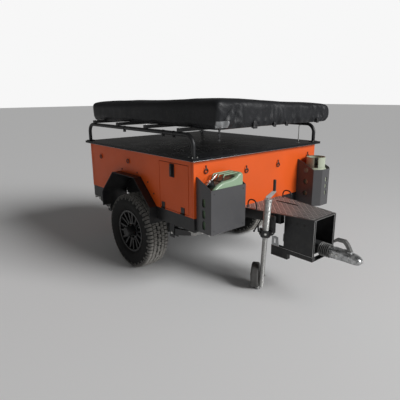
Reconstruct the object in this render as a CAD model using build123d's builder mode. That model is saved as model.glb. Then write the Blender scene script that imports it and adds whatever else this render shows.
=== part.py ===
import os
from math import atan2, cos, degrees, hypot, radians, sin

from build123d import *

# Off-road camping trailer with a folded roof tent, in millimetres.
# X points forward to the coupling, Y to the trailer's left, Z up. The floor is z = 0.

# Body: a square-edged steel box with drop-down doors and a lid
body_length = 1710
body_width = 1630
body_bottom = 703
body_top = 1158
wall = 25
floor_sheet = 4

# Lid: a flat tray turned upside down, on a rubber seal
lid_overhang = 38
lid_thickness = 22
lid_sheet = 4
lid_rim = 26
seal_height = 6.7
seal_width = 14
seat_gap = 0.3

# The coupling's nose stands this far in front of the body
nose_reach = 1000
body_front = (body_length + lid_overhang - nose_reach) / 2
body_rear = body_front - body_length
body_side = body_width / 2
lid_bottom = body_top + seal_height + seat_gap
lid_top = lid_bottom + lid_thickness
lid_side = body_side + lid_overhang
lid_front = body_front + lid_overhang
lid_rear = body_rear - lid_overhang

# Wheels: 235/75 R 15 all-terrain tyres on wide alloy rims
tyre_radius = 367
tyre_width = 235
tread_width = 192
tyre_wall = 13
rim_radius = 190.5
rim_width = 178
track = body_width - 132
wheel_back = body_length / 2 + 84
wheel_x = body_front - wheel_back
wheel_y = track / 2
wheel_z = tyre_radius
hub_radius = 52
stud_circle = 139.7
stub_radius = 20

# Wheel arches: folded sheet, a trapezium with upright legs
arch_top = 935
arch_bottom = 552
arch_half_top = 190
arch_half_foot = 428
arch_reach = 79
arch_inner_y = body_side - 215
arch_sheet = 4
arch_out_y = body_side + arch_reach

# Suspension: trailing arms, each on a pin between two brackets
pivot_x = wheel_x + 420
pivot_z = 440
arm_y0 = arch_inner_y - 100
arm_y1 = arch_inner_y - 20

# Black perimeter sill below the orange body
sill_bottom = 588
sill_depth = 62
sill_sheet = 4
sill_inset = 3

# Chassis: two long rails and cross members
rail_y = arch_inner_y - 130
rail_width = 50
rail_height = 80
rail_wall = 5
cross_backs = (250, wheel_back - 239, wheel_back + 211, body_length - 110)

# Doors
door_gap = 5
door_arch_gap = 61
door_back = wheel_back - arch_half_foot - door_arch_gap
door_front_back = 67
door_bottom = 717
door_top = 1117
tailgate_half = body_side - 115
tailgate_fitting_y = tailgate_half - 220
hinge_end_gap = 45
hinge_front_gap = 72
latch_back = (door_back + door_front_back) / 2 + 13.5
latch_height = 110
latch_width = 54
door_pin = 4
door_knuckle = 6.5
door_axis_out = 9
door_axis_drop = 5
hinge_leaf = 4

# Drawbar: two converging arms under a chequer plate
plate_top = 705
plate_sheet = 5
plate_front = 668
plate_front_half = 155
plate_taper = 0.2
arm_width = 50
arm_height = 80
arm_wall = 4
arm_rear = -225
arm_inset = 6

# Drop box and lower rails that carry the overrun device
box_rear = 385
box_side = 155
box_sheet = 6
box_flange = 24
low_rail_top = 394
low_rail_rear = 256
low_rail_step = 427
low_rail_deep = 303
low_rail_shallow = 355
low_rail_width = 40
eye_rear = 250
eye_front = 333
eye_top = 478
eye_sheet = 8
hoop_reach = 105
hoop_half = 48
hoop_height = 76
hoop_bar = 6

# Overrun device and coupling
draw_z = 430
housing_rear = 300
housing_front = 645
housing_half = 48
bellows_length = 96
bellows_radius = 56
bellows_core = 44
bellows_folds = 6
ball_x = 955
ball_radius = 25
head_half = 46

# Jockey wheel: its tube leans forward a little, and the wheel trails beside it
jockey_x = 257
jockey_y = -276
jockey_lean = 3
jockey_turn = -55
tube_radius = 30
tube_bottom = 490
tube_top = 822
inner_radius = 21
jockey_travel = 250
inner_bottom = 36
jockey_wheel_radius = 112
jockey_wheel_width = 66
jockey_trail = 62
fork_sheet = 8
clamp_low = 503
clamp_high = 562
grip_length = 92
bracket_sheet = 12
bracket_rear = 240
bracket_front = 332

# Can holder on the front panel, trailer's right
can_holder_outer = 25 - body_side
can_holder_inner = can_holder_outer + 382
can_holder_depth = 172
can_holder_bottom = 600
can_holder_front_top = 955
can_holder_back_top = 1040
can_holder_slots = (665, 755, 845)
holder_sheet = 4
can_width = can_holder_inner - can_holder_outer - 37
can_depth = can_holder_depth - 12
can_height = 474
can_shoulder = 28

# Gas bottle holder on the front panel, trailer's left
gas_holder_outer = body_side - 15
gas_holder_inner = gas_holder_outer - 268
gas_holder_depth = 240
gas_holder_bevel_x = 50
gas_holder_bevel_y = 72
gas_holder_bottom = 592
gas_holder_front_top = 950
gas_holder_back_top = 1036
gas_holder_holes = (710, 825, 938)
gas_holder_slots = (715, 782, 848)
bottle_clearance = 16
bottle_radius = (gas_holder_outer - gas_holder_inner) / 2 - holder_sheet - bottle_clearance
bottle_height = 382
collar_radius = 90
collar_height = 116

# Side hoops and the tent on the lid
hoop_y = body_side - 12
hoop_front_back = 15
hoop_rear_back = body_length + 12
hoop_top = 1360
hoop_radius = 17
hoop_bend = 85
carrier_height = 27
carrier_width = 40
carrier_backs = (170, body_length / 2 - 215, body_length / 2 + 255, body_length - 130)
tent_front = 200
tent_length = body_length + 235
tent_half = body_side - 60
tent_thickness = 236
tent_rear_fall = 42
tent_left_fall = 40
tent_corner = 60

# Tail lamps and plate holder
lamp_width = 220
lamp_height = 100
lamp_depth = 34
plate_width = 530
plate_height = 116
plate_holder_sheet = 6

# Corner steadies, folded up below the sill
steady_tube = 36
steady_y = body_side - 51
steady_rise = 72
pad_width = 90
pad_length = 74
pad_sheet = 6
pad_lip = 20
steady_front_length = 290
steady_rear_length = 240

os.makedirs("parts", exist_ok=True)


def save(name, builder):
    builder.part.label = name
    export_step(builder.part, f"parts/{name}.step")


def back(distance):
    # X of a point this far behind the body's front face
    return body_front - distance


def box_at(x0, x1, y0, y1, z0, z1, mode=Mode.ADD):
    # an axis-aligned block between two corners, inside the open part
    with Locations(((x0 + x1) / 2, (y0 + y1) / 2, (z0 + z1) / 2)):
        Box(abs(x1 - x0), abs(y1 - y0), abs(z1 - z0), mode=mode)


def plan_half(reach):
    # half width of the chequer plate, this far in front of the body
    return plate_front_half + plate_taper * (plate_front - reach)


def side_plane(y):
    # upright plane along the trailer: local x forward, local y up, normal to the right
    return Plane(origin=(0, y, 0), x_dir=(1, 0, 0), z_dir=(0, -1, 0))


def box_on(place, x0, x1, y0, y1, z0, z1, mode=Mode.ADD):
    # a block between two corners of a turned frame
    middle = Location(((x0 + x1) / 2, (y0 + y1) / 2, (z0 + z1) / 2))
    with Locations(place.location * middle):
        Box(x1 - x0, y1 - y0, z1 - z0, mode=mode)


def rod_on(place, x0, x1, radius, mode=Mode.ADD):
    # a round bar along the local x axis of a turned frame
    with Locations(place.location * Location(((x0 + x1) / 2, 0, 0), (0, 90, 0))):
        Cylinder(radius, x1 - x0, mode=mode)


def arch_profile(grow):
    # outline of the wheel arch, grown or shrunk by an even sheet
    slope = atan2(arch_top - body_bottom, arch_half_foot - arch_half_top)
    inset = grow * (1 - cos(slope)) / sin(slope)
    foot_inset = grow * (1 - sin(slope)) / cos(slope)
    top = arch_top + grow
    knee = body_bottom + foot_inset
    return [
        (wheel_x - arch_half_foot - grow, arch_bottom),
        (wheel_x - arch_half_foot - grow, knee),
        (wheel_x - arch_half_top - inset, top),
        (wheel_x + arch_half_top + inset, top),
        (wheel_x + arch_half_foot + grow, knee),
        (wheel_x + arch_half_foot + grow, arch_bottom),
    ]


# Body floor, cut back round the wheel arches
with BuildPart() as body_floor:
    box_at(body_rear + wall, body_front - wall, wall - body_side, body_side - wall,
           body_bottom, body_bottom + floor_sheet)
    for side in (-1, 1):
        box_at(wheel_x - arch_half_foot, wheel_x + arch_half_foot,
               side * arch_inner_y, side * body_side,
               body_bottom, body_bottom + floor_sheet, Mode.SUBTRACT)
save("body_floor", body_floor)

# Front panel
with BuildPart() as front_panel:
    box_at(body_front - wall, body_front, -body_side, body_side, body_bottom, body_top)
save("front_panel", front_panel)

# Side panels, each with a door opening and the cut for its wheel arch
for side, name in ((-1, "side_panel_right"), (1, "side_panel_left")):
    with BuildPart() as panel:
        box_at(body_rear, body_front - wall, side * (body_side - wall), side * body_side,
               body_bottom, body_top)
        box_at(back(door_back + door_gap), back(door_front_back - door_gap),
               side * (body_side - wall), side * body_side,
               door_bottom - door_gap, door_top + door_gap, Mode.SUBTRACT)
        with BuildSketch(side_plane(-body_side - 1)):
            with BuildLine():
                Polyline(*arch_profile(0), close=True)
            make_face()
        extrude(amount=-2 * body_side - 2, mode=Mode.SUBTRACT)
    save(name, panel)

# Rear panel, a frame round the tailgate
with BuildPart() as rear_panel:
    box_at(body_rear, body_rear + wall, wall - body_side, body_side - wall, body_bottom, body_top)
    box_at(body_rear, body_rear + wall, -tailgate_half - door_gap, tailgate_half + door_gap,
           door_bottom - door_gap, door_top + door_gap, Mode.SUBTRACT)
save("rear_panel", rear_panel)

# Frames of the door hinges: local x along the pin, y outwards, z up, origin on the pin
hinge_z = door_bottom - door_axis_drop
hinge_out = body_side + door_axis_out
door_hinges_right = [
    Plane(origin=(back(distance), -hinge_out, hinge_z), x_dir=(-1, 0, 0), z_dir=(0, 0, 1))
    for distance in (door_back - hinge_end_gap, door_front_back + hinge_front_gap)
]
door_hinges_left = [
    Plane(origin=(back(distance), hinge_out, hinge_z), x_dir=(1, 0, 0), z_dir=(0, 0, 1))
    for distance in (door_back - hinge_end_gap, door_front_back + hinge_front_gap)
]
tailgate_hinges = [
    Plane(origin=(body_rear - door_axis_out, y, hinge_z), x_dir=(0, 1, 0), z_dir=(0, 0, 1))
    for y in (-tailgate_fitting_y, 0, tailgate_fitting_y)
]
latch_right = Plane(origin=(back(latch_back), -body_side, door_top), x_dir=(-1, 0, 0), z_dir=(0, 0, 1))
latch_left = Plane(origin=(back(latch_back), body_side, door_top), x_dir=(1, 0, 0), z_dir=(0, 0, 1))
latch_rear_right = Plane(origin=(body_rear, -tailgate_fitting_y, door_top), x_dir=(0, 1, 0), z_dir=(0, 0, 1))
latch_rear_left = Plane(origin=(body_rear, tailgate_fitting_y, door_top), x_dir=(0, 1, 0), z_dir=(0, 0, 1))


def moving_leaf(place):
    # hinge leaf on the door's outer face, with the middle knuckle
    face = -door_axis_out
    box_on(place, -22, 22, face, face + hinge_leaf, door_axis_drop + 2, door_axis_drop + 50)
    box_on(place, -10, 10, face, 0, 0, door_axis_drop + 2)
    rod_on(place, -10, 10, door_knuckle)
    rod_on(place, -11, 11, door_pin + 0.3, Mode.SUBTRACT)


def fixed_leaf(place):
    # hinge leaf on the panel below the opening, with the outer knuckles and the pin
    face = -door_axis_out
    for x0, x1 in ((-22, -12), (12, 22)):
        box_on(place, x0, x1, face, 0, -5, 0)
        rod_on(place, x0, x1, door_knuckle)
    box_on(place, -22, 22, face, face + 2, -9, -0.5)
    rod_on(place, -22, 22, door_pin)


def compression_latch(place):
    # a tall cast latch with its folding handle, just below the door's top edge
    half = latch_width / 2
    box_on(place, -half, half, 0, 6, -latch_height - 5, -5)
    box_on(place, -half / 2, half / 2, 6, 19, 1 - latch_height, -11)


# Drop-down side doors, each with hinge leaves and one tall latch
for side, name in ((-1, "side_door_right"), (1, "side_door_left")):
    with BuildPart() as door:
        box_at(back(door_back), back(door_front_back), side * (body_side - wall), side * body_side,
               door_bottom, door_top)
        fillet(door.edges().filter_by(Axis.Y), 4)
    save(name, door)

with BuildPart() as door_fittings_right:
    for place in door_hinges_right:
        moving_leaf(place)
    compression_latch(latch_right)
save("door_fittings_right", door_fittings_right)

with BuildPart() as door_fittings_left:
    for place in door_hinges_left:
        moving_leaf(place)
    compression_latch(latch_left)
save("door_fittings_left", door_fittings_left)

# Tailgate, with three hinge leaves and two latches
with BuildPart() as tailgate:
    box_at(body_rear, body_rear + wall, -tailgate_half, tailgate_half, door_bottom, door_top)
    fillet(tailgate.edges().filter_by(Axis.X), 4)
save("tailgate", tailgate)

with BuildPart() as tailgate_fittings:
    for place in tailgate_hinges:
        moving_leaf(place)
    compression_latch(latch_rear_right)
    compression_latch(latch_rear_left)
save("tailgate_fittings", tailgate_fittings)

with BuildPart() as door_hinges:
    for place in door_hinges_right + door_hinges_left + tailgate_hinges:
        fixed_leaf(place)
save("door_hinges", door_hinges)

# Wheel arches: the band over the tyre and the wall behind it
for side, name in ((-1, "wheel_arch_right"), (1, "wheel_arch_left")):
    with BuildPart() as arch:
        with BuildSketch(side_plane(side * arch_inner_y)):
            with BuildLine():
                Polyline(*arch_profile(0), close=True)
            make_face()
            with BuildLine():
                Polyline(*arch_profile(-arch_sheet), close=True)
            make_face(mode=Mode.SUBTRACT)
        extrude(amount=-side * (arch_out_y - arch_inner_y))
        with BuildSketch(side_plane(side * arch_inner_y)):
            with BuildLine():
                Polyline(*arch_profile(-arch_sheet), close=True)
            make_face()
        extrude(amount=-side * arch_sheet)
        box_at(wheel_x - arch_half_foot, wheel_x + arch_half_foot,
               side * (arch_inner_y - 1), side * (arch_inner_y + arch_sheet + 1),
               arch_bottom - 1, body_bottom, Mode.SUBTRACT)
    save(name, arch)

# Black sills: folded channels, open inwards, before and behind each wheel and across both ends
with BuildPart() as sills:
    foot_front = wheel_x + arch_half_foot
    foot_rear = wheel_x - arch_half_foot
    outer = body_side - sill_inset
    box_at(body_rear + sill_inset, body_front - sill_inset, -outer, outer, sill_bottom, body_bottom)
    box_at(body_rear + sill_depth, body_front - sill_depth, sill_depth - outer, outer - sill_depth,
           sill_bottom, body_bottom, Mode.SUBTRACT)
    box_at(body_rear + sill_inset + sill_sheet, body_front - sill_inset - sill_sheet,
           sill_sheet - outer, outer - sill_sheet,
           sill_bottom + sill_sheet, body_bottom - sill_sheet, Mode.SUBTRACT)
    box_at(foot_rear, foot_front, -outer, outer, sill_bottom, body_bottom, Mode.SUBTRACT)
    for side in (-1, 1):
        box_at(body_front - sill_depth - 1, body_front, side * 228, side * 302,
               body_bottom - rail_height - 4, body_bottom, Mode.SUBTRACT)
save("sills", sills)

# Chassis: two long tubes and the cross members between and beside them
with BuildPart() as chassis:
    low = body_bottom - rail_height
    x0 = body_rear + sill_depth + 1
    x1 = body_front - sill_depth - 1
    for side in (-1, 1):
        box_at(x0, x1, side * rail_y - rail_width / 2, side * rail_y + rail_width / 2,
               low, body_bottom)
    for cross_back in cross_backs:
        x = back(cross_back)
        if cross_back == cross_backs[0]:
            reach = body_side - sill_inset - sill_depth
        else:
            reach = arch_inner_y - 2
        box_at(x - rail_width / 2, x + rail_width / 2, -reach, reach, low, body_bottom)
    for side in (-1, 1):
        box_at(x0 - 1, x1 + 1, side * rail_y - rail_width / 2 + rail_wall,
               side * rail_y + rail_width / 2 - rail_wall,
               low + rail_wall, body_bottom - rail_wall, Mode.SUBTRACT)
save("chassis", chassis)

# Drawbar arms: two square tubes that run in from below the body to the drop box
with BuildPart() as drawbar_arms:
    for side in (-1, 1):
        for shrink, mode in ((0, Mode.ADD), (arm_wall, Mode.SUBTRACT)):
            with BuildSketch(Plane.XY.offset(plate_top - plate_sheet - arm_height + shrink)):
                with BuildLine():
                    rear_y = plan_half(arm_rear) - arm_inset
                    front_y = plan_half(box_rear - 2) - arm_inset
                    x_rear = body_front + arm_rear
                    x_front = body_front + box_rear - 2
                    Polyline(
                        (x_rear, side * (rear_y - shrink)),
                        (x_front, side * (front_y - shrink)),
                        (x_front, side * (front_y - arm_width + shrink)),
                        (x_rear, side * (rear_y - arm_width + shrink)),
                        close=True,
                    )
                make_face()
            extrude(amount=arm_height - 2 * shrink, mode=mode)
save("drawbar_arms", drawbar_arms)

# Chequer plate over the drawbar, folded down a little at its edges
with BuildPart() as drawbar_cover:
    with BuildSketch(Plane.XY.offset(plate_top - plate_sheet)):
        with BuildLine():
            Polyline(
                (body_front + 1, -plan_half(0)),
                (body_front + plate_front, -plate_front_half),
                (body_front + plate_front, plate_front_half),
                (body_front + 1, plan_half(0)),
                close=True,
            )
        make_face()
    extrude(amount=plate_sheet)
save("drawbar_cover", drawbar_cover)

# Drop box: two side plates with turned-in front flanges and bolt holes
with BuildPart() as drop_box:
    top = plate_top - plate_sheet
    for side in (-1, 1):
        box_at(body_front + box_rear, body_front + plate_front, side * (box_side - box_sheet),
               side * box_side, low_rail_top, top)
        box_at(body_front + plate_front - box_sheet, body_front + plate_front,
               side * (box_side - box_flange), side * box_side, low_rail_top, top)
        for hole_x in (440, 510, 580):
            with Locations(Location((body_front + hole_x, side * box_side, 640), (90, 0, 0))):
                Cylinder(8, 40, mode=Mode.SUBTRACT)
    box_at(body_front + box_rear, body_front + box_rear + box_sheet,
           box_sheet - box_side, box_side - box_sheet, top - arm_height, top)
save("drop_box", drop_box)

# Lower rails of the drawbar, stepped channels, open inwards
with BuildPart() as low_rails:
    for side in (-1, 1):
        for shrink, mode in ((0, Mode.ADD), (box_sheet, Mode.SUBTRACT)):
            with BuildSketch(side_plane(side * (box_side - shrink))):
                with BuildLine():
                    Polyline(
                        (body_front + low_rail_rear + shrink, low_rail_top - shrink),
                        (body_front + plate_front - shrink, low_rail_top - shrink),
                        (body_front + plate_front - shrink, low_rail_shallow + shrink),
                        (body_front + low_rail_step - shrink, low_rail_shallow + shrink),
                        (body_front + low_rail_step - shrink, low_rail_deep + shrink),
                        (body_front + low_rail_rear + shrink, low_rail_deep + shrink),
                        close=True,
                    )
                make_face()
            extrude(amount=side * low_rail_width, mode=mode)
    box_at(body_front + plate_front - 46, body_front + plate_front, low_rail_width - box_side,
           box_side - low_rail_width, low_rail_shallow, low_rail_shallow + box_sheet)
save("low_rails", low_rails)

# Overrun device: a square housing on a seat plate across the lower rails
with BuildPart() as overrun_housing:
    box_at(body_front + housing_rear, body_front + housing_front, -housing_half, housing_half,
           draw_z - 30, draw_z + housing_half)
    fillet(overrun_housing.edges().filter_by(Axis.X), 12)
    box_at(body_front + low_rail_step, body_front + housing_front - 10, -box_side + box_sheet + 1,
           box_side - box_sheet - 1, low_rail_top, low_rail_top + 8)
save("overrun_housing", overrun_housing)

# Rubber bellows between the housing and the coupling
with BuildPart() as bellows:
    pitch = bellows_length / bellows_folds
    x0 = body_front + housing_front
    with BuildSketch(Plane.XZ):
        with BuildLine():
            points = [(x0, draw_z)]
            for fold in range(bellows_folds):
                points.append((x0 + fold * pitch, draw_z + bellows_core))
                points.append((x0 + (fold + 0.5) * pitch, draw_z + bellows_radius))
            points.append((x0 + bellows_length, draw_z + bellows_core))
            points.append((x0 + bellows_length, draw_z))
            Polyline(*points, close=True)
        make_face()
    revolve(axis=Axis((0, 0, draw_z), (1, 0, 0)))
save("bellows", bellows)

# Coupling head: a pressed shell with a socket for the 50 mm ball
with BuildPart() as coupling_head:
    x0 = body_front + housing_front + bellows_length
    with BuildSketch(Plane.XZ.offset(-head_half)):
        with BuildLine():
            Polyline(
                (x0, draw_z - 34),
                (x0, draw_z + 36),
                (x0 + 60, draw_z + 40),
                (body_front + ball_x - 50, draw_z + 44),
                (body_front + ball_x + 12, draw_z + 36),
                (body_front + nose_reach, draw_z + 22),
                (body_front + nose_reach, draw_z - 18),
                (body_front + nose_reach - 15, draw_z - 32),
                (body_front + ball_x - 52, draw_z - 32),
                (x0 + 60, draw_z - 34),
                close=True,
            )
        make_face()
    extrude(amount=2 * head_half)
    fillet(coupling_head.edges().filter_by(Axis.Y).sort_by(Axis.X)[-2:], 10)
    box_at(body_front + 880, body_front + 916, -20, 20, draw_z + 30, draw_z + 48)
    with Locations((body_front + ball_x, 0, draw_z - 14)):
        Sphere(ball_radius + 0.5, mode=Mode.SUBTRACT)
        with Locations((0, 0, -20)):
            Cylinder(ball_radius + 0.5, 40, mode=Mode.SUBTRACT)
save("coupling_head", coupling_head)

# Coupling handle: a bent flat lever with a loop grip
with BuildPart() as coupling_handle:
    with BuildSketch(side_plane(-15)):
        with BuildLine():
            outer_path = FilletPolyline(
                (body_front + 914, draw_z + 48),
                (body_front + 884, draw_z + 100),
                (body_front + 852, draw_z + 128),
                (body_front + 782, draw_z + 126),
                (body_front + 752, draw_z + 102),
                (body_front + 762, draw_z + 84),
                (body_front + 792, draw_z + 103),
                (body_front + 842, draw_z + 104),
                (body_front + 862, draw_z + 84),
                (body_front + 884, draw_z + 48),
                radius=6,
                close=False,
            )
            Line(outer_path @ 1, outer_path @ 0)
        make_face()
    extrude(amount=-30)
save("coupling_handle", coupling_handle)

# Tie-down hoops on the drawbar plate
with BuildPart() as drawbar_hoops:
    for side in (-1, 1):
        y = side * (plan_half(hoop_reach) - 22)
        x = body_front + hoop_reach
        with BuildLine() as hoop_path:
            FilletPolyline(
                (x - hoop_half, y, plate_top),
                (x - hoop_half, y, plate_top + hoop_height),
                (x + hoop_half, y, plate_top + hoop_height),
                (x + hoop_half, y, plate_top),
                radius=hoop_half - 6,
            )
        with BuildSketch(Plane(origin=(x - hoop_half, y, plate_top), z_dir=(0, 0, 1))):
            Circle(hoop_bar)
        sweep(path=hoop_path.wires()[0])
save("drawbar_hoops", drawbar_hoops)

# Safety chain eyes: an upright slotted plate on the rear end of each lower rail
with BuildPart() as chain_eyes:
    for side in (-1, 1):
        with BuildSketch(side_plane(side * box_side)):
            with BuildLine():
                Polyline(
                    (body_front + low_rail_rear + 4, low_rail_top),
                    (body_front + eye_rear + 10, eye_top - 8),
                    (body_front + (eye_rear + eye_front) / 2, eye_top),
                    (body_front + eye_front - 10, eye_top - 8),
                    (body_front + eye_front, low_rail_top),
                    close=True,
                )
            make_face()
            with Locations((body_front + (eye_rear + eye_front) / 2, (low_rail_top + eye_top) / 2 - 2)):
                SlotOverall(46, 17, rotation=90, mode=Mode.SUBTRACT)
        extrude(amount=side * eye_sheet)
save("chain_eyes", chain_eyes)

# Jockey wheel stand
lean = radians(jockey_lean)
jockey_axis = Vector(sin(lean), 0, cos(lean))
turn = radians(jockey_turn)
axle_dir = Vector(-sin(turn), cos(turn), 0)
trail_dir = Vector(-cos(turn), -sin(turn), 0)


def jockey_point(height):
    # a point on the jockey tube's centre line at this height
    return Vector(body_front + jockey_x + height * sin(lean) / cos(lean), jockey_y, height)


def jockey_plane(height):
    return Plane(origin=jockey_point(height), x_dir=(cos(lean), 0, -sin(lean)), z_dir=jockey_axis)


with BuildPart() as jockey_tube:
    with BuildSketch(jockey_plane(tube_bottom)):
        Circle(tube_radius)
        Circle(inner_radius + 0.5, mode=Mode.SUBTRACT)
    extrude(amount=(tube_top - tube_bottom) / cos(lean))
    with BuildSketch(jockey_plane(tube_top)):
        Circle(tube_radius + 1.5)
    extrude(amount=8)
    spindle = jockey_point(tube_top)
    with Locations((spindle.X, spindle.Y, tube_top + 9)):
        Cylinder(9, 12)
save("jockey_tube", jockey_tube)

# Crank: a flat lever that rises from the tube's cap, with an upright grip
crank_foot = jockey_point(tube_top) + Vector(0, 0, 15.2)
crank_side = Vector(0.658, 0.753, 0)
with BuildPart() as jockey_crank:
    crank_normal = crank_side.cross(Vector(0, 0, 1))
    with BuildSketch(Plane(origin=crank_foot - crank_normal * 5, x_dir=crank_side, z_dir=crank_normal)):
        with BuildLine():
            Polyline((-20, 0), (18, 0), (62, 52), (62, 62), (34, 62), (-20, 14), close=True)
        make_face()
    extrude(amount=10)
save("jockey_crank", jockey_crank)

with BuildPart() as jockey_grip:
    with BuildSketch(Plane.XY.offset(crank_foot.Z + 62)):
        with Locations((crank_foot.X + crank_side.X * 48, crank_foot.Y + crank_side.Y * 48)):
            Circle(12)
    extrude(amount=grip_length)
    fillet(jockey_grip.edges().group_by(Axis.Z)[-1], 5)
save("jockey_grip", jockey_grip)

with BuildPart() as jockey_clamp:
    with BuildSketch(jockey_plane(clamp_low)):
        Circle(tube_radius + 11)
        with Locations((0, 45)):
            Rectangle(52, 60)
        with Locations((-46, 0)):
            Rectangle(30, 16)
        Circle(tube_radius, mode=Mode.SUBTRACT)
    extrude(amount=clamp_high - clamp_low)
    with BuildSketch(Plane.XY.offset(clamp_low + 16)):
        with BuildLine():
            Polyline(
                (body_front + bracket_rear, arm_inset - plan_half(bracket_rear)),
                (body_front + bracket_front, arm_inset - plan_half(bracket_front)),
                (body_front + bracket_front, arm_inset - plan_half(bracket_front) - bracket_sheet),
                (body_front + bracket_rear, arm_inset - plan_half(bracket_rear) - bracket_sheet),
                close=True,
            )
        make_face()
    extrude(amount=plate_top - plate_sheet - 6 - clamp_low - 16)
save("jockey_clamp", jockey_clamp)

with BuildPart() as jockey_inner:
    with BuildSketch(jockey_plane(inner_bottom)):
        Circle(inner_radius)
    extrude(amount=(tube_top - jockey_travel - 8 - inner_bottom) / cos(lean))
    wheel_foot = jockey_point(jockey_wheel_radius)
    axle_centre = wheel_foot + trail_dir * jockey_trail
    fork_plane = Plane(origin=wheel_foot - axle_dir * 10, x_dir=trail_dir, z_dir=axle_dir * -1)
    with BuildSketch(fork_plane):
        with BuildLine():
            Polyline((-10, -64), (14, -64), (jockey_trail + 22, -20), (jockey_trail + 22, 22),
                     (14, 100), (-10, 100), close=True)
        make_face()
    extrude(amount=fork_sheet)
    axle_plane = Plane(origin=axle_centre + axle_dir * 26, z_dir=axle_dir * -1)
    with BuildSketch(axle_plane):
        Circle(8)
    extrude(amount=26 + 29 + jockey_wheel_width + 12)
    with BuildSketch(Plane(origin=axle_centre - axle_dir * (31 + jockey_wheel_width), z_dir=axle_dir * -1)):
        Circle(14)
    extrude(amount=8)
save("jockey_inner", jockey_inner)

with BuildPart() as jockey_wheel:
    with BuildSketch(Plane(origin=axle_centre - axle_dir * 29, z_dir=axle_dir * -1)):
        Circle(jockey_wheel_radius)
        Circle(8.3, mode=Mode.SUBTRACT)
    extrude(amount=jockey_wheel_width)
    fillet(jockey_wheel.edges().filter_by(GeomType.CIRCLE).group_by(SortBy.RADIUS)[-1], 14)
save("jockey_wheel", jockey_wheel)

# Tyres and rims, revolved about the axle line
for side, name in ((-1, "right"), (1, "left")):
    hub = Plane(origin=(wheel_x, side * wheel_y, wheel_z), x_dir=(1, 0, 0), z_dir=(0, 0, 1))
    axle = Axis((wheel_x, side * wheel_y, wheel_z), (0, 1, 0))
    with BuildPart() as tyre:
        with BuildSketch(hub):
            with BuildLine():
                h = tread_width / 2
                w = tyre_width / 2
                b = rim_width / 2
                r = rim_radius
                c = tyre_wall
                ThreePointArc((tyre_radius - 6, -h), (tyre_radius, 0), (tyre_radius - 6, h))
                Line((tyre_radius - 6, h), (tyre_radius - 24, h + 10))
                ThreePointArc((tyre_radius - 24, h + 10), (r + 86, w), (r + 20, b))
                Polyline((r + 20, b), (r + 4, b), (r + 4, b - c), (r + 20, b - c))
                ThreePointArc((r + 20, b - c), (r + 86, w - c), (tyre_radius - 32, h - 8))
                Line((tyre_radius - 32, h - 8), (tyre_radius - 32, 8 - h))
                ThreePointArc((tyre_radius - 32, 8 - h), (r + 86, c - w), (r + 20, c - b))
                Polyline((r + 20, c - b), (r + 4, c - b), (r + 4, -b), (r + 20, -b))
                ThreePointArc((r + 20, -b), (r + 86, -w), (tyre_radius - 24, -h - 10))
                Line((tyre_radius - 24, -h - 10), (tyre_radius - 6, -h))
            make_face()
        revolve(axis=axle)
    save(f"tyre_{name}", tyre)

    # The rim: flanges, bead seats and drop centre, and a dished disc with eight windows
    with BuildPart() as rim:
        with BuildSketch(hub):
            with BuildLine():
                h = rim_width / 2
                r = rim_radius
                s = side
                Polyline(
                    (r + 16, s * (h + 0.3)),
                    (r + 3.7, s * (h + 0.3)),
                    (r + 3.7, s * (h - 18)),
                    (r - 14, s * (h - 40)),
                    (r - 14, -s * (h - 24)),
                    (r + 3.7, -s * (h - 16)),
                    (r + 3.7, -s * (h + 0.3)),
                    (r + 16, -s * (h + 0.3)),
                    (r + 16, -s * (h + 5.3)),
                    (r - 2, -s * (h + 5.3)),
                    (r - 2, -s * (h - 13)),
                    (r - 20, -s * (h - 22)),
                    (r - 20, s * 31),
                    (stud_circle / 2 + 24, 0),
                    (hub_radius / 2, 0),
                    (hub_radius / 2, s * 14),
                    (stud_circle / 2 + 14, s * 18),
                    (r - 18, s * (h - 30)),
                    (r - 2, s * (h - 14)),
                    (r - 2, s * (h + 5.3)),
                    (r + 16, s * (h + 5.3)),
                    close=True,
                )
            make_face()
        revolve(axis=axle)
        face = Plane(origin=(wheel_x, side * (wheel_y - 40), wheel_z), x_dir=(1, 0, 0), z_dir=(0, side, 0))
        with BuildSketch(face):
            with PolarLocations((r + stud_circle / 2 + 6) / 2, 8):
                SlotOverall(58, 34, rotation=0)
        extrude(amount=140, mode=Mode.SUBTRACT)
    save(f"rim_{name}", rim)

    # The hub: brake drum, mounting flange and a closed cap, bored for the stub axle
    with BuildPart() as hub_drum:
        with BuildSketch(hub):
            with BuildLine():
                s = side
                Polyline(
                    (stub_radius + 0.05, -s * 70),
                    (45, -s * 70),
                    (45, -s * 16),
                    (116, -s * 16),
                    (116, -s * 60),
                    (128, -s * 60),
                    (128, -s * 8),
                    (94, -s * 8),
                    (94, -s * 0.3),
                    (hub_radius / 2 - 0.5, -s * 0.3),
                    (hub_radius / 2 - 0.5, s * 30),
                    (0, s * 30),
                    (0, s * 12),
                    (stub_radius + 0.05, s * 12),
                    close=True,
                )
            make_face()
        revolve(axis=axle)
    save(f"hub_{name}", hub_drum)

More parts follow.
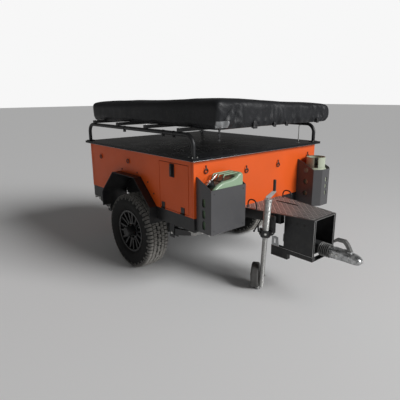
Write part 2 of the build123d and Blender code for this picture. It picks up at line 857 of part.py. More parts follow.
# Trailing arms: a box section arm, its stub axle and brake plate on each side
with BuildPart() as trailing_arms:
    for side in (-1, 1):
        with BuildSketch(side_plane(side * arm_y0)):
            with BuildLine():
                Polyline(
                    (wheel_x - 60, wheel_z - 45),
                    (wheel_x + 40, wheel_z - 55),
                    (pivot_x, pivot_z - 40),
                    (pivot_x, pivot_z + 40),
                    (wheel_x + 40, wheel_z + 55),
                    (wheel_x - 60, wheel_z + 45),
                    close=True,
                )
            make_face()
        extrude(amount=-side * (arm_y1 - arm_y0))
        with BuildSketch(Plane(origin=(wheel_x, side * arm_y1, wheel_z), z_dir=(0, side, 0))):
            Circle(stub_radius)
        extrude(amount=wheel_y + 8 - arm_y1)
        with BuildSketch(Plane(origin=(wheel_x, side * (wheel_y - 79), wheel_z), z_dir=(0, side, 0))):
            Circle(124)
        extrude(amount=4)
        with BuildSketch(Plane(origin=(pivot_x - 30, side * (arm_y0 - 1), pivot_z), z_dir=(0, side, 0))):
            Circle(10.05)
        extrude(amount=arm_y1 - arm_y0 + 2, mode=Mode.SUBTRACT)
save("trailing_arms", trailing_arms)

# Pivot brackets below the chassis rails, with the arms' pivot pins
with BuildPart() as arm_brackets:
    top = body_bottom - rail_height
    for side in (-1, 1):
        for y0, y1 in ((arm_y0 - 9, arm_y0 - 1), (arm_y1 + 1, arm_y1 + 9)):
            box_at(pivot_x - 70, pivot_x + 60, side * y0, side * y1, pivot_z - 55, top)
        box_at(pivot_x - 70, pivot_x + 60, side * (arm_y0 - 9), side * (arm_y1 + 9), top - 8, top)
        with BuildSketch(Plane(origin=(pivot_x - 30, side * (arm_y0 - 12), pivot_z), z_dir=(0, side, 0))):
            Circle(10)
        extrude(amount=arm_y1 - arm_y0 + 24)
save("arm_brackets", arm_brackets)

# Can holder: side plates with three slots, a front plate and a floor
with BuildPart() as can_holder:
    x0, x1 = body_front, body_front + can_holder_depth
    y0, y1 = can_holder_outer, can_holder_inner
    with BuildSketch(side_plane(y0)):
        with BuildLine():
            Polyline(
                (x0, can_holder_bottom),
                (x1, can_holder_bottom),
                (x1, can_holder_front_top),
                (x0 + 12, can_holder_back_top),
                (x0, can_holder_back_top),
                close=True,
            )
        make_face()
    extrude(amount=-(y1 - y0))
    box_at(x0 - 1, x1 - holder_sheet, y0 + holder_sheet, y1 - holder_sheet,
           can_holder_bottom + holder_sheet, can_holder_back_top + 1, Mode.SUBTRACT)
    for z in can_holder_slots:
        with BuildSketch(side_plane(y0 - 1)):
            with Locations(((x0 + x1) / 2, z)):
                SlotOverall(70, 36, rotation=90)
        extrude(amount=-(y1 - y0) - 2, mode=Mode.SUBTRACT)
save("can_holder", can_holder)

# Steel fuel can with rounded corners and three handles
can_y = (can_holder_outer + can_holder_inner) / 2
can_x = body_front + can_holder_depth / 2
with BuildPart() as fuel_can:
    z0 = can_holder_bottom + holder_sheet
    box_at(can_x - can_depth / 2, can_x + can_depth / 2, can_y - can_width / 2, can_y + can_width / 2,
           z0, z0 + can_height - can_shoulder)
    fillet(fuel_can.edges().filter_by(Axis.Z), 38)
    fillet(fuel_can.faces().sort_by(Axis.Z)[-1].edges(), 22)
    for offset in (-46, 0, 46):
        with BuildLine() as handle_path:
            FilletPolyline(
                (can_x + offset, can_y - 70, z0 + can_height - can_shoulder - 5),
                (can_x + offset, can_y - 70, z0 + can_height - 8),
                (can_x + offset, can_y + 90, z0 + can_height - 8),
                (can_x + offset, can_y + 90, z0 + can_height - can_shoulder - 5),
                radius=16,
            )
        with BuildSketch(Plane(origin=(can_x + offset, can_y - 70, z0 + can_height - can_shoulder - 5), z_dir=(0, 0, 1))):
            Circle(8)
        sweep(path=handle_path.wires()[0])
save("fuel_can", fuel_can)

# Gas bottle holder: a folded plate with bevelled front corners
with BuildPart() as gas_holder:
    x0, x1 = body_front, body_front + gas_holder_depth
    y0, y1 = gas_holder_inner, gas_holder_outer
    bx, by = gas_holder_bevel_x, gas_holder_bevel_y
    for shrink, z0, z1, mode in (
        (0, gas_holder_bottom, gas_holder_back_top, Mode.ADD),
        (holder_sheet, gas_holder_bottom + holder_sheet, gas_holder_back_top + 1, Mode.SUBTRACT),
    ):
        with BuildSketch(Plane.XY.offset(z0)):
            with BuildLine():
                Polyline(
                    (x0 - shrink, y0 + shrink),
                    (x1 - bx - shrink * 0.5, y0 + shrink),
                    (x1 - shrink, y0 + by + shrink * 0.4),
                    (x1 - shrink, y1 - by - shrink * 0.4),
                    (x1 - bx - shrink * 0.5, y1 - shrink),
                    (x0 - shrink, y1 - shrink),
                    close=True,
                )
            make_face()
        extrude(amount=z1 - z0, mode=mode)
    with BuildSketch(side_plane(y0 - 1)):
        with BuildLine():
            Polyline(
                (x0 + 12, gas_holder_back_top + 1),
                (x1 - bx, gas_holder_front_top),
                (x1 + 1, gas_holder_front_top),
                (x1 + 1, gas_holder_back_top + 1),
                close=True,
            )
        make_face()
    extrude(amount=-(y1 - y0) - 2, mode=Mode.SUBTRACT)
    for z in gas_holder_holes:
        with BuildSketch(side_plane(y0 - 1)):
            with Locations((x0 + 105, z)):
                Circle(24)
        extrude(amount=-(y1 - y0) - 2, mode=Mode.SUBTRACT)
    for z in gas_holder_slots:
        box_at(x1 - holder_sheet - 1, x1 + 1, (y0 + y1) / 2 - 2, (y0 + y1) / 2 + 22, z - 20, z + 20,
               Mode.SUBTRACT)
save("gas_holder", gas_holder)

# Gas bottle with its collar and foot ring
bottle_y = (gas_holder_inner + gas_holder_outer) / 2
bottle_x = body_front + gas_holder_depth / 2
with BuildPart() as gas_bottle:
    z0 = gas_holder_bottom + holder_sheet
    with BuildSketch(Plane(origin=(bottle_x, bottle_y, z0), x_dir=(1, 0, 0), z_dir=(0, -1, 0))):
        with BuildLine():
            r = bottle_radius
            Line((0, 0), (r - 14, 0))
            Line((r - 14, 0), (r - 14, 22))
            ThreePointArc((r - 14, 22), (r - 4, 30), (r, 46))
            Line((r, 46), (r, bottle_height - 70))
            ThreePointArc((r, bottle_height - 70), (r * 0.72, bottle_height - 18), (28, bottle_height))
            Line((28, bottle_height), (0, bottle_height))
            Line((0, bottle_height), (0, 0))
        make_face()
    revolve(axis=Axis((bottle_x, bottle_y, 0), (0, 0, 1)))
    with BuildSketch(Plane.XY.offset(z0 + bottle_height - 34)):
        with Locations((bottle_x, bottle_y)):
            Circle(collar_radius)
            Circle(collar_radius - 4, mode=Mode.SUBTRACT)
            with Locations((-6, -collar_radius)):
                Rectangle(76, 70, rotation=-10, mode=Mode.SUBTRACT)
    extrude(amount=collar_height)
    with BuildSketch(Plane.XY.offset(z0 + bottle_height - 2)):
        with Locations((bottle_x, bottle_y)):
            Circle(14)
    extrude(amount=52)
    with BuildSketch(Plane.XY.offset(z0 + bottle_height + 50)):
        with Locations((bottle_x, bottle_y)):
            Circle(24)
    extrude(amount=16)
save("gas_bottle", gas_bottle)

# Lid seal on the body's top edge
with BuildPart() as lid_seal:
    box_at(body_rear + 5, body_front - 5, 5 - body_side, body_side - 5, body_top, body_top + seal_height)
    box_at(body_rear + 5 + seal_width, body_front - 5 - seal_width, 5 + seal_width - body_side,
           body_side - 5 - seal_width, body_top, body_top + seal_height, Mode.SUBTRACT)
save("lid_seal", lid_seal)

# Lid, hollow below, with hinge knuckles along its left edge
lid_hinge_y = lid_side + 13
lid_hinge_z = lid_bottom + 7
hinge_backs = (250, body_length / 2, body_length - 250)
hinge_pin = 10
with BuildPart() as lid:
    box_at(lid_rear, lid_front, -lid_side, lid_side, lid_bottom, lid_top)
    box_at(lid_rear + lid_overhang + lid_rim, lid_front - lid_overhang - lid_rim,
           lid_overhang + lid_rim - lid_side, lid_side - lid_overhang - lid_rim,
           lid_bottom, lid_top - lid_sheet, Mode.SUBTRACT)
    for hinge_back in hinge_backs:
        x = back(hinge_back)
        with BuildSketch(Plane(origin=(x - 20, lid_hinge_y, lid_hinge_z), z_dir=(1, 0, 0))):
            Circle(10)
        extrude(amount=40)
        box_at(x - 20, x + 20, lid_side - 2, lid_hinge_y, lid_hinge_z - 5, lid_hinge_z + 5)
        with BuildSketch(Plane(origin=(x - 20, lid_hinge_y, lid_hinge_z), z_dir=(1, 0, 0))):
            Circle(hinge_pin / 2 + 0.3)
        extrude(amount=40, mode=Mode.SUBTRACT)
save("lid", lid)

# Lid hinges: brackets on the left side panel with their pins
with BuildPart() as lid_hinges:
    for hinge_back in hinge_backs:
        x = back(hinge_back)
        box_at(x - 40, x + 40, body_side, body_side + 4, body_top - 30, body_top - 4)
        box_at(x - 40, x + 40, body_side, lid_hinge_y + 9, body_top - 12, body_top - 4)
        for x0, x1 in ((x - 40, x - 23), (x + 23, x + 40)):
            box_at(x0, x1, lid_hinge_y - 9, lid_hinge_y + 9, body_top - 12, lid_hinge_z)
            with BuildSketch(Plane(origin=(x0, lid_hinge_y, lid_hinge_z), z_dir=(1, 0, 0))):
                Circle(9)
            extrude(amount=x1 - x0)
        with BuildSketch(Plane(origin=(x - 40, lid_hinge_y, lid_hinge_z), z_dir=(1, 0, 0))):
            Circle(hinge_pin / 2)
        extrude(amount=80)
save("lid_hinges", lid_hinges)

# Side hoops: one bent tube along each side of the lid
with BuildPart() as side_hoops:
    for side in (-1, 1):
        y = side * hoop_y
        x0, x1 = back(hoop_rear_back), back(hoop_front_back)
        with BuildLine() as hoop_path:
            FilletPolyline(
                (x0, y, lid_top),
                (x0, y, hoop_top),
                (x1, y, hoop_top),
                (x1, y, lid_top),
                radius=hoop_bend,
            )
        with BuildSketch(Plane(origin=(x0, y, lid_top), z_dir=(0, 0, 1))):
            Circle(hoop_radius)
        sweep(path=hoop_path.wires()[0])
        for x in (x0 + 4, x1 - 4):
            box_at(x - 28, x + 28, y - 34, y + 34, lid_top, lid_top + 5)
save("side_hoops", side_hoops)

# Tent carriers: cross bars from hoop to hoop
carrier_bottom = hoop_top + hoop_radius
with BuildPart() as tent_carriers:
    for carrier_back in carrier_backs:
        x = back(carrier_back)
        box_at(x - carrier_width / 2, x + carrier_width / 2, -hoop_y - 20, hoop_y + 20,
               carrier_bottom, carrier_bottom + carrier_height)
save("tent_carriers", tent_carriers)

# Folded tent in its soft cover
tent_bottom = carrier_bottom + carrier_height + seat_gap
with BuildPart() as tent_cover:
    x0, x1 = body_front + tent_front - tent_length, body_front + tent_front
    box_at(x0, x1, -tent_half, tent_half, tent_bottom, tent_bottom + tent_thickness)
    fall = (Vector(x1 - x0, 0, tent_rear_fall), Vector(0, 2 * tent_half, -tent_left_fall))
    slope = Plane(origin=(x1, -tent_half, tent_bottom + tent_thickness), z_dir=fall[0].cross(fall[1]))
    split(bisect_by=slope, keep=Keep.BOTTOM)
    fillet(tent_cover.edges().filter_by(Axis.Z), tent_corner)
    fillet(tent_cover.faces().sort_by(Axis.Z)[-1].edges(), 42)
    fillet(tent_cover.faces().sort_by(Axis.Z)[0].edges(), 30)
save("tent_cover", tent_cover)

# Lashing rings on the front and side panels, hanging from their plates
ring_out_y = body_side - 125
front_rings = ((-ring_out_y, body_top - 84), (-218, body_top - 140), (218, body_top - 140),
               (ring_out_y, body_top - 110))
side_rings = ((wheel_back + 9, body_top - 103), (body_length - 230, body_top - 118))
with BuildPart() as lashing_rings:
    for y, z in front_rings:
        box_at(body_front, body_front + 4, y - 20, y + 20, z - 6, z + 30)
        with Locations(Location((body_front + 8, y, z), (0, 90, 0))):
            Torus(18, 4)
    for side in (-1, 1):
        for ring_back, z in side_rings:
            x = back(ring_back)
            box_at(x - 20, x + 20, side * body_side, side * (body_side + 4), z - 6, z + 30)
            with Locations(Location((x, side * (body_side + 8), z), (90, 0, 0))):
                Torus(18, 4)
save("lashing_rings", lashing_rings)

# Tail lamps and the blank plate holder on the rear sill
with BuildPart() as tail_lamps:
    for side in (-1, 1):
        box_at(body_rear + sill_inset - lamp_depth, body_rear + sill_inset,
               side * (body_side - 35 - lamp_width), side * (body_side - 35),
               sill_bottom + 2, sill_bottom + 2 + lamp_height)
        fillet(tail_lamps.faces().sort_by(Axis.X)[0].edges(), 6)
save("tail_lamps", tail_lamps)

with BuildPart() as plate_holder:
    box_at(body_rear + sill_inset - plate_holder_sheet, body_rear + sill_inset,
           -plate_width / 2, plate_width / 2, sill_bottom - 6, sill_bottom - 6 + plate_height)
save("plate_holder", plate_holder)

# Corner steadies: a tapered leg with a foot pad, folded up at a slant, on two bracket plates
steady_rows = (
    ("steady_front_right", back(330), 1, -1, steady_front_length),
    ("steady_front_left", back(330), 1, 1, steady_front_length),
    ("steady_rear_right", body_rear + 280, -1, -1, steady_rear_length),
    ("steady_rear_left", body_rear + 280, -1, 1, steady_rear_length),
)
steady_pivot_z = sill_bottom - 90
for name, pivot, forward, side, length in steady_rows:
    y = side * steady_y
    with BuildPart() as steady:
        with BuildSketch(side_plane(y + steady_tube / 2)):
            with BuildLine():
                Polyline(
                    (pivot - forward * 26, steady_pivot_z - 34),
                    (pivot - forward * 26, steady_pivot_z + 34),
                    (pivot + forward * length, steady_pivot_z + steady_rise + 8),
                    (pivot + forward * length, steady_pivot_z + steady_rise - 26),
                    close=True,
                )
            make_face()
        extrude(amount=steady_tube)
        box_at(pivot + forward * (length - 40), pivot + forward * (length - 40 + pad_length),
               y - pad_width / 2, y + pad_width / 2,
               steady_pivot_z + steady_rise + 7, steady_pivot_z + steady_rise + 7 + pad_sheet)
        lip = pivot + forward * (length - 40 + pad_length)
        box_at(lip - forward * pad_sheet, lip, y - pad_width / 2, y + pad_width / 2,
               steady_pivot_z + steady_rise + 7 - pad_lip, steady_pivot_z + steady_rise + 8)
        with Locations(Location((pivot, y, steady_pivot_z), (90, 0, 0))):
            Cylinder(6.3, steady_tube + 4, mode=Mode.SUBTRACT)
    save(name, steady)

with BuildPart() as steady_brackets:
    for name, pivot, forward, side, length in steady_rows:
        y = side * steady_y
        for y0, y1 in ((y - steady_tube / 2 - 6, y - steady_tube / 2 - 1),
                       (y + steady_tube / 2 + 1, y + steady_tube / 2 + 6)):
            box_at(pivot - 30, pivot + 30, y0, y1, steady_pivot_z - 42, sill_bottom)
        with Locations(Location((pivot, y, steady_pivot_z), (90, 0, 0))):
            Cylinder(6, steady_tube + 12)
save("steady_brackets", steady_brackets)
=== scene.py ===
from math import atan2, cos, exp, hypot, pi, radians, sin, tan

import bmesh
import bpy
from mathutils import Matrix, Vector, noise
from mathutils.bvhtree import BVHTree


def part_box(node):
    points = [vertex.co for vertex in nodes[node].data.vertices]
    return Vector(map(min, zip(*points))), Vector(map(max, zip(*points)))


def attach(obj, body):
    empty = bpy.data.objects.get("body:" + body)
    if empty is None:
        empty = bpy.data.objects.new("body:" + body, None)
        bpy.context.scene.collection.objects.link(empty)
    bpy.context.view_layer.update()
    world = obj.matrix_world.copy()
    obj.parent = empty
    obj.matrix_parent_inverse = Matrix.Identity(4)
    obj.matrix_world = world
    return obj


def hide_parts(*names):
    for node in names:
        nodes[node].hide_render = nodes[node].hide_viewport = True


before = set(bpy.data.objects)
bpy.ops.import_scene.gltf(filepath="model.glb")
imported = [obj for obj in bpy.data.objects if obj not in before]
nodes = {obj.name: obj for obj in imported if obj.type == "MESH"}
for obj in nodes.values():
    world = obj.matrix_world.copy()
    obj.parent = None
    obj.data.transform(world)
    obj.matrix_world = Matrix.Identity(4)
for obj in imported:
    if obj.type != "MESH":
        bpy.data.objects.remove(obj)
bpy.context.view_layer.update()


# Camera
# It stands off the front right corner, level with the tent's top, as the photograph was taken.
standpoint = (2.648, -2.741, 1.653)
heading, dip, roll = 48.82, 14.91, -0.37
camera = bpy.data.objects.new("camera", bpy.data.cameras.new("camera"))
bpy.context.scene.collection.objects.link(camera)
camera.data.lens = 35.53
camera.data.sensor_width = 36
camera.matrix_world = (
    Matrix.Translation(standpoint)
    @ Matrix.Rotation(radians(heading), 4, "Z")
    @ Matrix.Rotation(radians(90 - dip), 4, "X")
    @ Matrix.Rotation(radians(roll), 4, "Z")
)
bpy.context.scene.camera = camera


# Chassis, trailing arms and their brackets
# Welded square tube and plate, hot-dip galvanised after welding, so the zinc shows its spangle.
# Bolts through the brackets hold the arms.
class Value:
    # a socket that can be written into sums
    def __init__(self, paint, socket):
        self.paint = paint
        self.socket = socket

    def math(self, operation, *others):
        return self.paint.node("Math", dict(enumerate((self,) + others)), operation=operation)

    def __add__(self, other):
        return self.math("ADD", other)

    def __radd__(self, other):
        return self.math("ADD", other)

    def __sub__(self, other):
        return self.math("SUBTRACT", other)

    def __rsub__(self, other):
        return (self * -1) + other

    def __mul__(self, other):
        return self.math("MULTIPLY", other)

    def __rmul__(self, other):
        return self.math("MULTIPLY", other)

    def __gt__(self, other):
        return self.math("GREATER_THAN", other)

    def __lt__(self, other):
        return self.math("LESS_THAN", other)


class Paint:
    # a finish, worked out from places on the object
    def __init__(self, name, roughness=0.5, metallic=0.0, **more):
        self.material = bpy.data.materials.new(name)
        self.material.use_nodes = True
        self.tree = self.material.node_tree
        self.shader = self.tree.nodes["Principled BSDF"]
        self.set("Roughness", roughness)
        self.set("Metallic", metallic)
        for key, value in more.items():
            self.set(key.replace("_", " "), value)

    def feed(self, slot, value):
        if isinstance(value, Value):
            self.tree.links.new(value.socket, slot)
        elif slot.type == "RGBA" and len(value) == 3:
            slot.default_value = (*value, 1.0)
        else:
            slot.default_value = value

    def set(self, slot, value):
        self.feed(self.shader.inputs[slot], value)

    def node(self, kind, inputs=None, output=0, **settings):
        node = self.tree.nodes.new("ShaderNode" + kind)
        for key, value in settings.items():
            setattr(node, key, value)
        for key, value in (inputs or {}).items():
            self.feed(node.inputs[key], value)
        return Value(self, node.outputs[output])

    def place(self):
        return self.node("TexCoord", output="Object")

    def axes(self):
        split = self.node("SeparateXYZ", {0: self.place()}).socket.node
        return [Value(self, socket) for socket in split.outputs]

    def noise(self, scale, detail=3.0, roughness=0.5, stretch=None):
        at = self.place()
        if stretch:
            at = self.node("Mapping", {"Vector": at, "Scale": stretch})
        return self.node("TexNoise", {"Vector": at, "Scale": scale, "Detail": detail, "Roughness": roughness})

    def ramp(self, value, low, high):
        return self.node("MapRange", {0: value, 1: low, 2: high, 3: 0.0, 4: 1.0})

    def mix(self, factor, first, second):
        return self.node("Mix", {0: factor, 6: first, 7: second}, output=2, data_type="RGBA")

    def colour(self, factor, first, second):
        self.set("Base Color", self.mix(factor, first, second))

    def bump(self, height, distance):
        self.set("Normal", self.node("Bump", {"Height": height, "Distance": distance, "Strength": 1.0}))


def plain_finish(name, cloud, dark, light, grain=None, **more):
    # two close shades in a soft cloud, over a grain of (scale, depth)
    paint = Paint(name, **more)
    paint.colour(paint.noise(cloud), dark, light)
    if grain:
        scale, depth = grain
        paint.bump(paint.noise(scale), depth)
    return paint


def galvanised(name, dark, light, ribs=0.0):
    # zinc crystals a few millimetres across, each with its own shade and gloss
    paint = Paint(name, metallic=0.75)
    crystal = paint.node("TexVoronoi", {"Vector": paint.place(), "Scale": 170.0}, output=1)
    shade = paint.node("SeparateColor", {0: crystal})
    cloud = paint.noise(9.0, 4.0, 0.6)
    paint.colour(shade * 0.45 + cloud * 0.55, dark, light)
    paint.set("Roughness", shade * 0.14 + cloud * 0.2 + 0.24)
    if ribs:
        wave = (paint.axes()[2] * (2 * pi / ribs)).math("SINE")
        paint.bump(wave * 0.5 + paint.noise(220.0) * 0.3, 0.0028)
    else:
        paint.bump(paint.noise(260.0), 0.00012)
    return paint


def dress(paint, *names):
    for name in names:
        slots = nodes[name].data.materials
        slots.clear()
        slots.append(paint.material)


def fitted(name, mesh, paint, slot, body="body_and_chassis", smooth=40, instead_of=None):
    # a finished piece: its mesh lies where it belongs, and it rides on a body
    piece = bpy.data.objects.new(name, mesh)
    bpy.context.scene.collection.objects.link(piece)
    mesh.materials.clear()
    mesh.materials.append(paint.material)
    if smooth:
        mesh.set_sharp_from_angle(angle=radians(smooth))
        for face in mesh.polygons:
            face.use_smooth = True
    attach(piece, body)
    if instead_of:
        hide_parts(instead_of)
    return piece


def facing(normal, turn=0.0):
    # the turn that lays local Z along a direction
    return Vector(normal).to_track_quat("Z", "Y").to_matrix().to_4x4() @ Matrix.Rotation(turn, 4, "Z")


def seat(place, normal=None):
    # where a shape stands, with its local Z upright or along a direction
    here = Matrix.Translation(place)
    return here if normal is None else here @ facing(normal)


class Work:
    # a piece on the bench, built up from plain shapes in metres
    def __init__(self):
        self.bm = bmesh.new()

    def loop(self, points):
        return [self.bm.verts.new(point) for point in points]

    def skin(self, loops):
        # walls from loop to loop, closed at both ends
        for first, second in zip(loops, loops[1:]):
            for i in range(len(first)):
                j = (i + 1) % len(first)
                self.bm.faces.new((first[i], first[j], second[j], second[i]))
        self.bm.faces.new(loops[0][::-1])
        self.bm.faces.new(loops[-1])

    def move(self, verts, place):
        if place is not None:
            bmesh.ops.transform(self.bm, matrix=place, verts=verts)

    def block(self, low, high, bevel=0.0, place=None):
        size = [b - a for a, b in zip(low, high)]
        middle = [(a + b) / 2 for a, b in zip(low, high)]
        made = bmesh.ops.create_cube(self.bm, size=1.0)["verts"]
        self.move(made, Matrix.Translation(middle) @ Matrix.Diagonal((*size, 1)))
        if bevel:
            edges = list({edge for vert in made for edge in vert.link_edges})
            rounded_off = bmesh.ops.bevel(
                self.bm, geom=edges, offset=bevel, segments=2, affect="EDGES", profile=0.5)
            made = rounded_off["verts"]
        self.move(made, place)

    def turned(self, profile, place=None, steps=40, closed=False):
        # a profile of (along, radius) turned about the local Z axis
        rings = []
        for along, radius in profile:
            if radius < 1e-6:
                rings.append(self.loop([(0, 0, along)]))
            else:
                turns = [2 * pi * i / steps for i in range(steps)]
                rings.append(self.loop([(radius * cos(turn), radius * sin(turn), along) for turn in turns]))
        pairs = list(zip(rings, rings[1:]))
        if closed:
            pairs.append((rings[-1], rings[0]))
        for first, second in pairs:
            for i in range(steps):
                j = (i + 1) % steps
                corners = ((first, i), (first, j), (second, j), (second, i))
                corners = list(dict.fromkeys(ring[k % len(ring)] for ring, k in corners))
                if len(corners) > 2:
                    self.bm.faces.new(corners)
        self.move([vert for ring in rings for vert in ring], place)

    def tube(self, points, radius, steps=12):
        # a round bar along a path, with closed ends
        points = [Vector(point) for point in points]
        rings = []
        side = None
        for k, point in enumerate(points):
            ahead = points[min(k + 1, len(points) - 1)] - points[max(k - 1, 0)]
            ahead.normalize()
            if side is None:
                side = ahead.orthogonal().normalized()
            side = (side - ahead * side.dot(ahead)).normalized()
            up = ahead.cross(side)
            turns = [2 * pi * i / steps for i in range(steps)]
            rings.append(self.loop([
                point + side * radius * cos(turn) + up * radius * sin(turn) for turn in turns]))
        self.skin(rings)

    def mesh(self, name):
        mesh = bpy.data.meshes.new(name)
        bmesh.ops.recalc_face_normals(self.bm, faces=self.bm.faces)
        self.bm.to_mesh(mesh)
        self.bm.free()
        return mesh

    def fit(self, name, *rest, **more):
        # what is on the bench, as a finished piece
        fitted(name, self.mesh(name), *rest, **more)


def rounded(points, radius, steps=6):
    # an open path with its corners rounded, as a bar is bent round a former
    points = [Vector(point) for point in points]
    path = [points[0]]
    for before, corner, after in zip(points, points[1:], points[2:]):
        first = (before - corner).normalized()
        second = (after - corner).normalized()
        bend = max(0.05, abs(tan(first.angle(second) / 2)))
        reach = min(radius / bend, (before - corner).length * 0.49, (after - corner).length * 0.49)
        start, end = corner + first * reach, corner + second * reach
        for k in range(steps + 1):
            t = k / steps
            path.append((start * (1 - t) + corner * t) * (1 - t) + (corner * (1 - t) + end * t) * t)
    path.append(points[-1])
    return path


class Tree:
    # a Geometry Nodes tree with named inputs for its sizes
    def __init__(self, name, inputs):
        self.tree = bpy.data.node_groups.new(name, "GeometryNodeTree")
        self.tree.interface.new_socket("Geometry", in_out="INPUT", socket_type="NodeSocketGeometry")
        self.tree.interface.new_socket("Geometry", in_out="OUTPUT", socket_type="NodeSocketGeometry")
        self.keys = {}
        for label, kind in inputs:
            item = self.tree.interface.new_socket(label, in_out="INPUT", socket_type="NodeSocket" + kind)
            self.keys[label] = item.identifier
        self.start = self.tree.nodes.new("NodeGroupInput")
        self.end = self.tree.nodes.new("NodeGroupOutput")

    def add(self, kind, inputs=None, **settings):
        node = self.tree.nodes.new(kind)
        for key, value in settings.items():
            setattr(node, key, value)
        for key, value in (inputs or {}).items():
            if isinstance(value, bpy.types.NodeSocket):
                self.tree.links.new(value, node.inputs[key])
            else:
                node.inputs[key].default_value = value
        return node

    def finish(self, geometry):
        real = self.add("GeometryNodeRealizeInstances", {0: geometry})
        material = self.start.outputs["Material"]
        coated = self.add("GeometryNodeSetMaterial", {0: real.outputs[0], "Material": material})
        self.tree.links.new(coated.outputs[0], self.end.inputs[0])

    def run(self, mesh, name, **values):
        # the tree's result on a mesh, as a plain mesh
        holder = bpy.data.objects.new(name, mesh)
        bpy.context.scene.collection.objects.link(holder)
        modifier = holder.modifiers.new(name, "NODES")
        modifier.node_group = self.tree
        for label, value in values.items():
            modifier[self.keys[label]] = value
        result = as_mesh(holder)
        bpy.data.objects.remove(holder)
        return result


def as_mesh(piece):
    # what a piece's modifiers make of it, as a plain mesh
    return bpy.data.meshes.new_from_object(piece.evaluated_get(bpy.context.evaluated_depsgraph_get()))


# one tree sets a shape out on a list of places, each with its own lie
set_out = Tree("set_out", [("Shape", "Object"), ("Material", "Material")])
shape = set_out.add("GeometryNodeObjectInfo", {0: set_out.start.outputs["Shape"]}, transform_space="ORIGINAL")
lie = set_out.add("GeometryNodeInputNamedAttribute", {"Name": "lie"}, data_type="FLOAT_VECTOR")
spin = set_out.add("FunctionNodeEulerToRotation", {0: lie.outputs[0]})
copies = set_out.add("GeometryNodeInstanceOnPoints", {
    "Points": set_out.start.outputs["Geometry"],
    "Instance": shape.outputs["Geometry"],
    "Rotation": spin.outputs[0],
})
set_out.finish(copies.outputs[0])

# another sets it out in a ring about the local Z axis
ring_out = Tree("ring_out", [("Count", "Int"), ("Material", "Material")])
count = ring_out.start.outputs["Count"]
points = ring_out.add("GeometryNodePoints", {"Count": count})
index = ring_out.add("GeometryNodeInputIndex")
portion = ring_out.add("ShaderNodeMath", {0: index.outputs[0], 1: count}, operation="DIVIDE")
angle = ring_out.add("ShaderNodeMath", {0: portion.outputs[0], 1: 2 * pi}, operation="MULTIPLY")
about = ring_out.add("ShaderNodeCombineXYZ", {2: angle.outputs[0]})
about_turn = ring_out.add("FunctionNodeEulerToRotation", {0: about.outputs[0]})
ring = ring_out.add("GeometryNodeInstanceOnPoints", {
    "Points": points.outputs[0],
    "Instance": ring_out.start.outputs["Geometry"],
    "Rotation": about_turn.outputs[0],
})
ring_out.finish(ring.outputs[0])


def fastened(name, shape_mesh, places, paint, slot, body="body_and_chassis", smooth=30):
    # copies of a shape at (place, direction, turn), as one piece
    shape_object = bpy.data.objects.new(name + "_shape", shape_mesh)
    bpy.context.scene.collection.objects.link(shape_object)
    mesh = bpy.data.meshes.new(name)
    mesh.from_pydata([tuple(place) for place, normal, turn in places], [], [])
    lies = mesh.attributes.new("lie", "FLOAT_VECTOR", "POINT")
    for k, (place, normal, turn) in enumerate(places):
        lies.data[k].vector = facing(normal, turn).to_euler()
    result = set_out.run(mesh, name, Shape=shape_object, Material=paint.material)
    bpy.data.objects.remove(shape_object)
    fitted(name, result, paint, slot, body, smooth)


def hex_bolt(size, height=None):
    # a hexagon head on its washer, local Z outwards
    work = Work()
    height = height or size * 0.65
    washer, flats = size * 1.12, size * 0.92
    washer_top, head_top = size * 0.22, height + size * 0.12
    work.turned([(0, 0), (0, washer), (size * 0.18, washer), (washer_top, size * 1.05), (washer_top, 0)],
                steps=20)
    head_foot = size * 0.2
    work.turned([(head_foot, 0), (head_foot, flats), (height, flats), (head_top, size * 0.7), (head_top, 0)],
                steps=6)
    return work.mesh("hex_bolt")


def dome_rivet(radius):
    work = Work()
    dome = ((0, 0), (0, 1), (0.25, 0.9), (0.5, 0.5), (0.58, 0))
    work.turned([(radius * up, radius * out) for up, out in dome], steps=12)
    return work.mesh("dome_rivet")


sides = (-1, 1)
front, rear, side = 0.374, -1.336, 0.815
proud = 0.0005
arm_pivot_back, arm_pivot_height = 0.040, 0.440
bracket_outside, bracket_inside = 0.593, 0.487
chassis_zinc = galvanised("galvanised_steel", (0.30, 0.31, 0.32), (0.62, 0.63, 0.63))
dress(chassis_zinc, "chassis", "trailing_arms", "arm_brackets", "chain_eyes")
zinc_bolt = plain_finish("zinc_plated_bolts", 60.0, (0.62, 0.62, 0.58), (0.82, 0.82, 0.80), roughness=0.3,
                         metallic=1.0)
arm_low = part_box("arm_brackets")[0]
arm_bolts = [
    ((arm_low.x + arm_pivot_back, s * y, arm_pivot_height), (0, s * way, 0), 0.3)
    for s in sides for y, way in ((bracket_outside, 1), (bracket_inside, -1))
]
fastened("arm_pivot_bolts", hex_bolt(0.015), arm_bolts, zinc_bolt, "zinc")


# Body panels, doors and tailgate
# Folded and welded steel, blasted, primed and sprayed with an orange powder coat, satin with a fine pebble.
# Narrow folded strips cover the corner joints, and rubber edging closes the gap round each door.
def coat(name, colour, roughness, grain=0.00003, dust=0.2, metallic=0.0, worn=None, **more):
    # sprayed or baked paint, a little clouded, with dust that gathers low down
    paint = Paint(name, metallic=metallic, **more)
    base = paint.mix(paint.ramp(paint.noise(2.4, 2.0), 0.35, 0.7), colour, [part * 0.9 for part in colour])
    low = (1 - paint.ramp(paint.axes()[2], 0.25, 0.95)) * paint.ramp(paint.noise(13.0, 5.0, 0.65), 0.45, 0.8)
    base = paint.mix(low * dust, base, (0.28, 0.26, 0.23))
    if worn:
        scuff = paint.noise(30.0, 6.0, 0.7, stretch=(1.0, 1.0, 0.25)) > 0.71
        base = paint.mix(scuff * 0.6, base, worn)
    paint.set("Base Color", base)
    paint.set("Roughness", paint.noise(18.0) * 0.14 + (roughness - 0.07) + low * 0.2)
    paint.bump(paint.noise(750.0, 2.0), grain)
    return paint


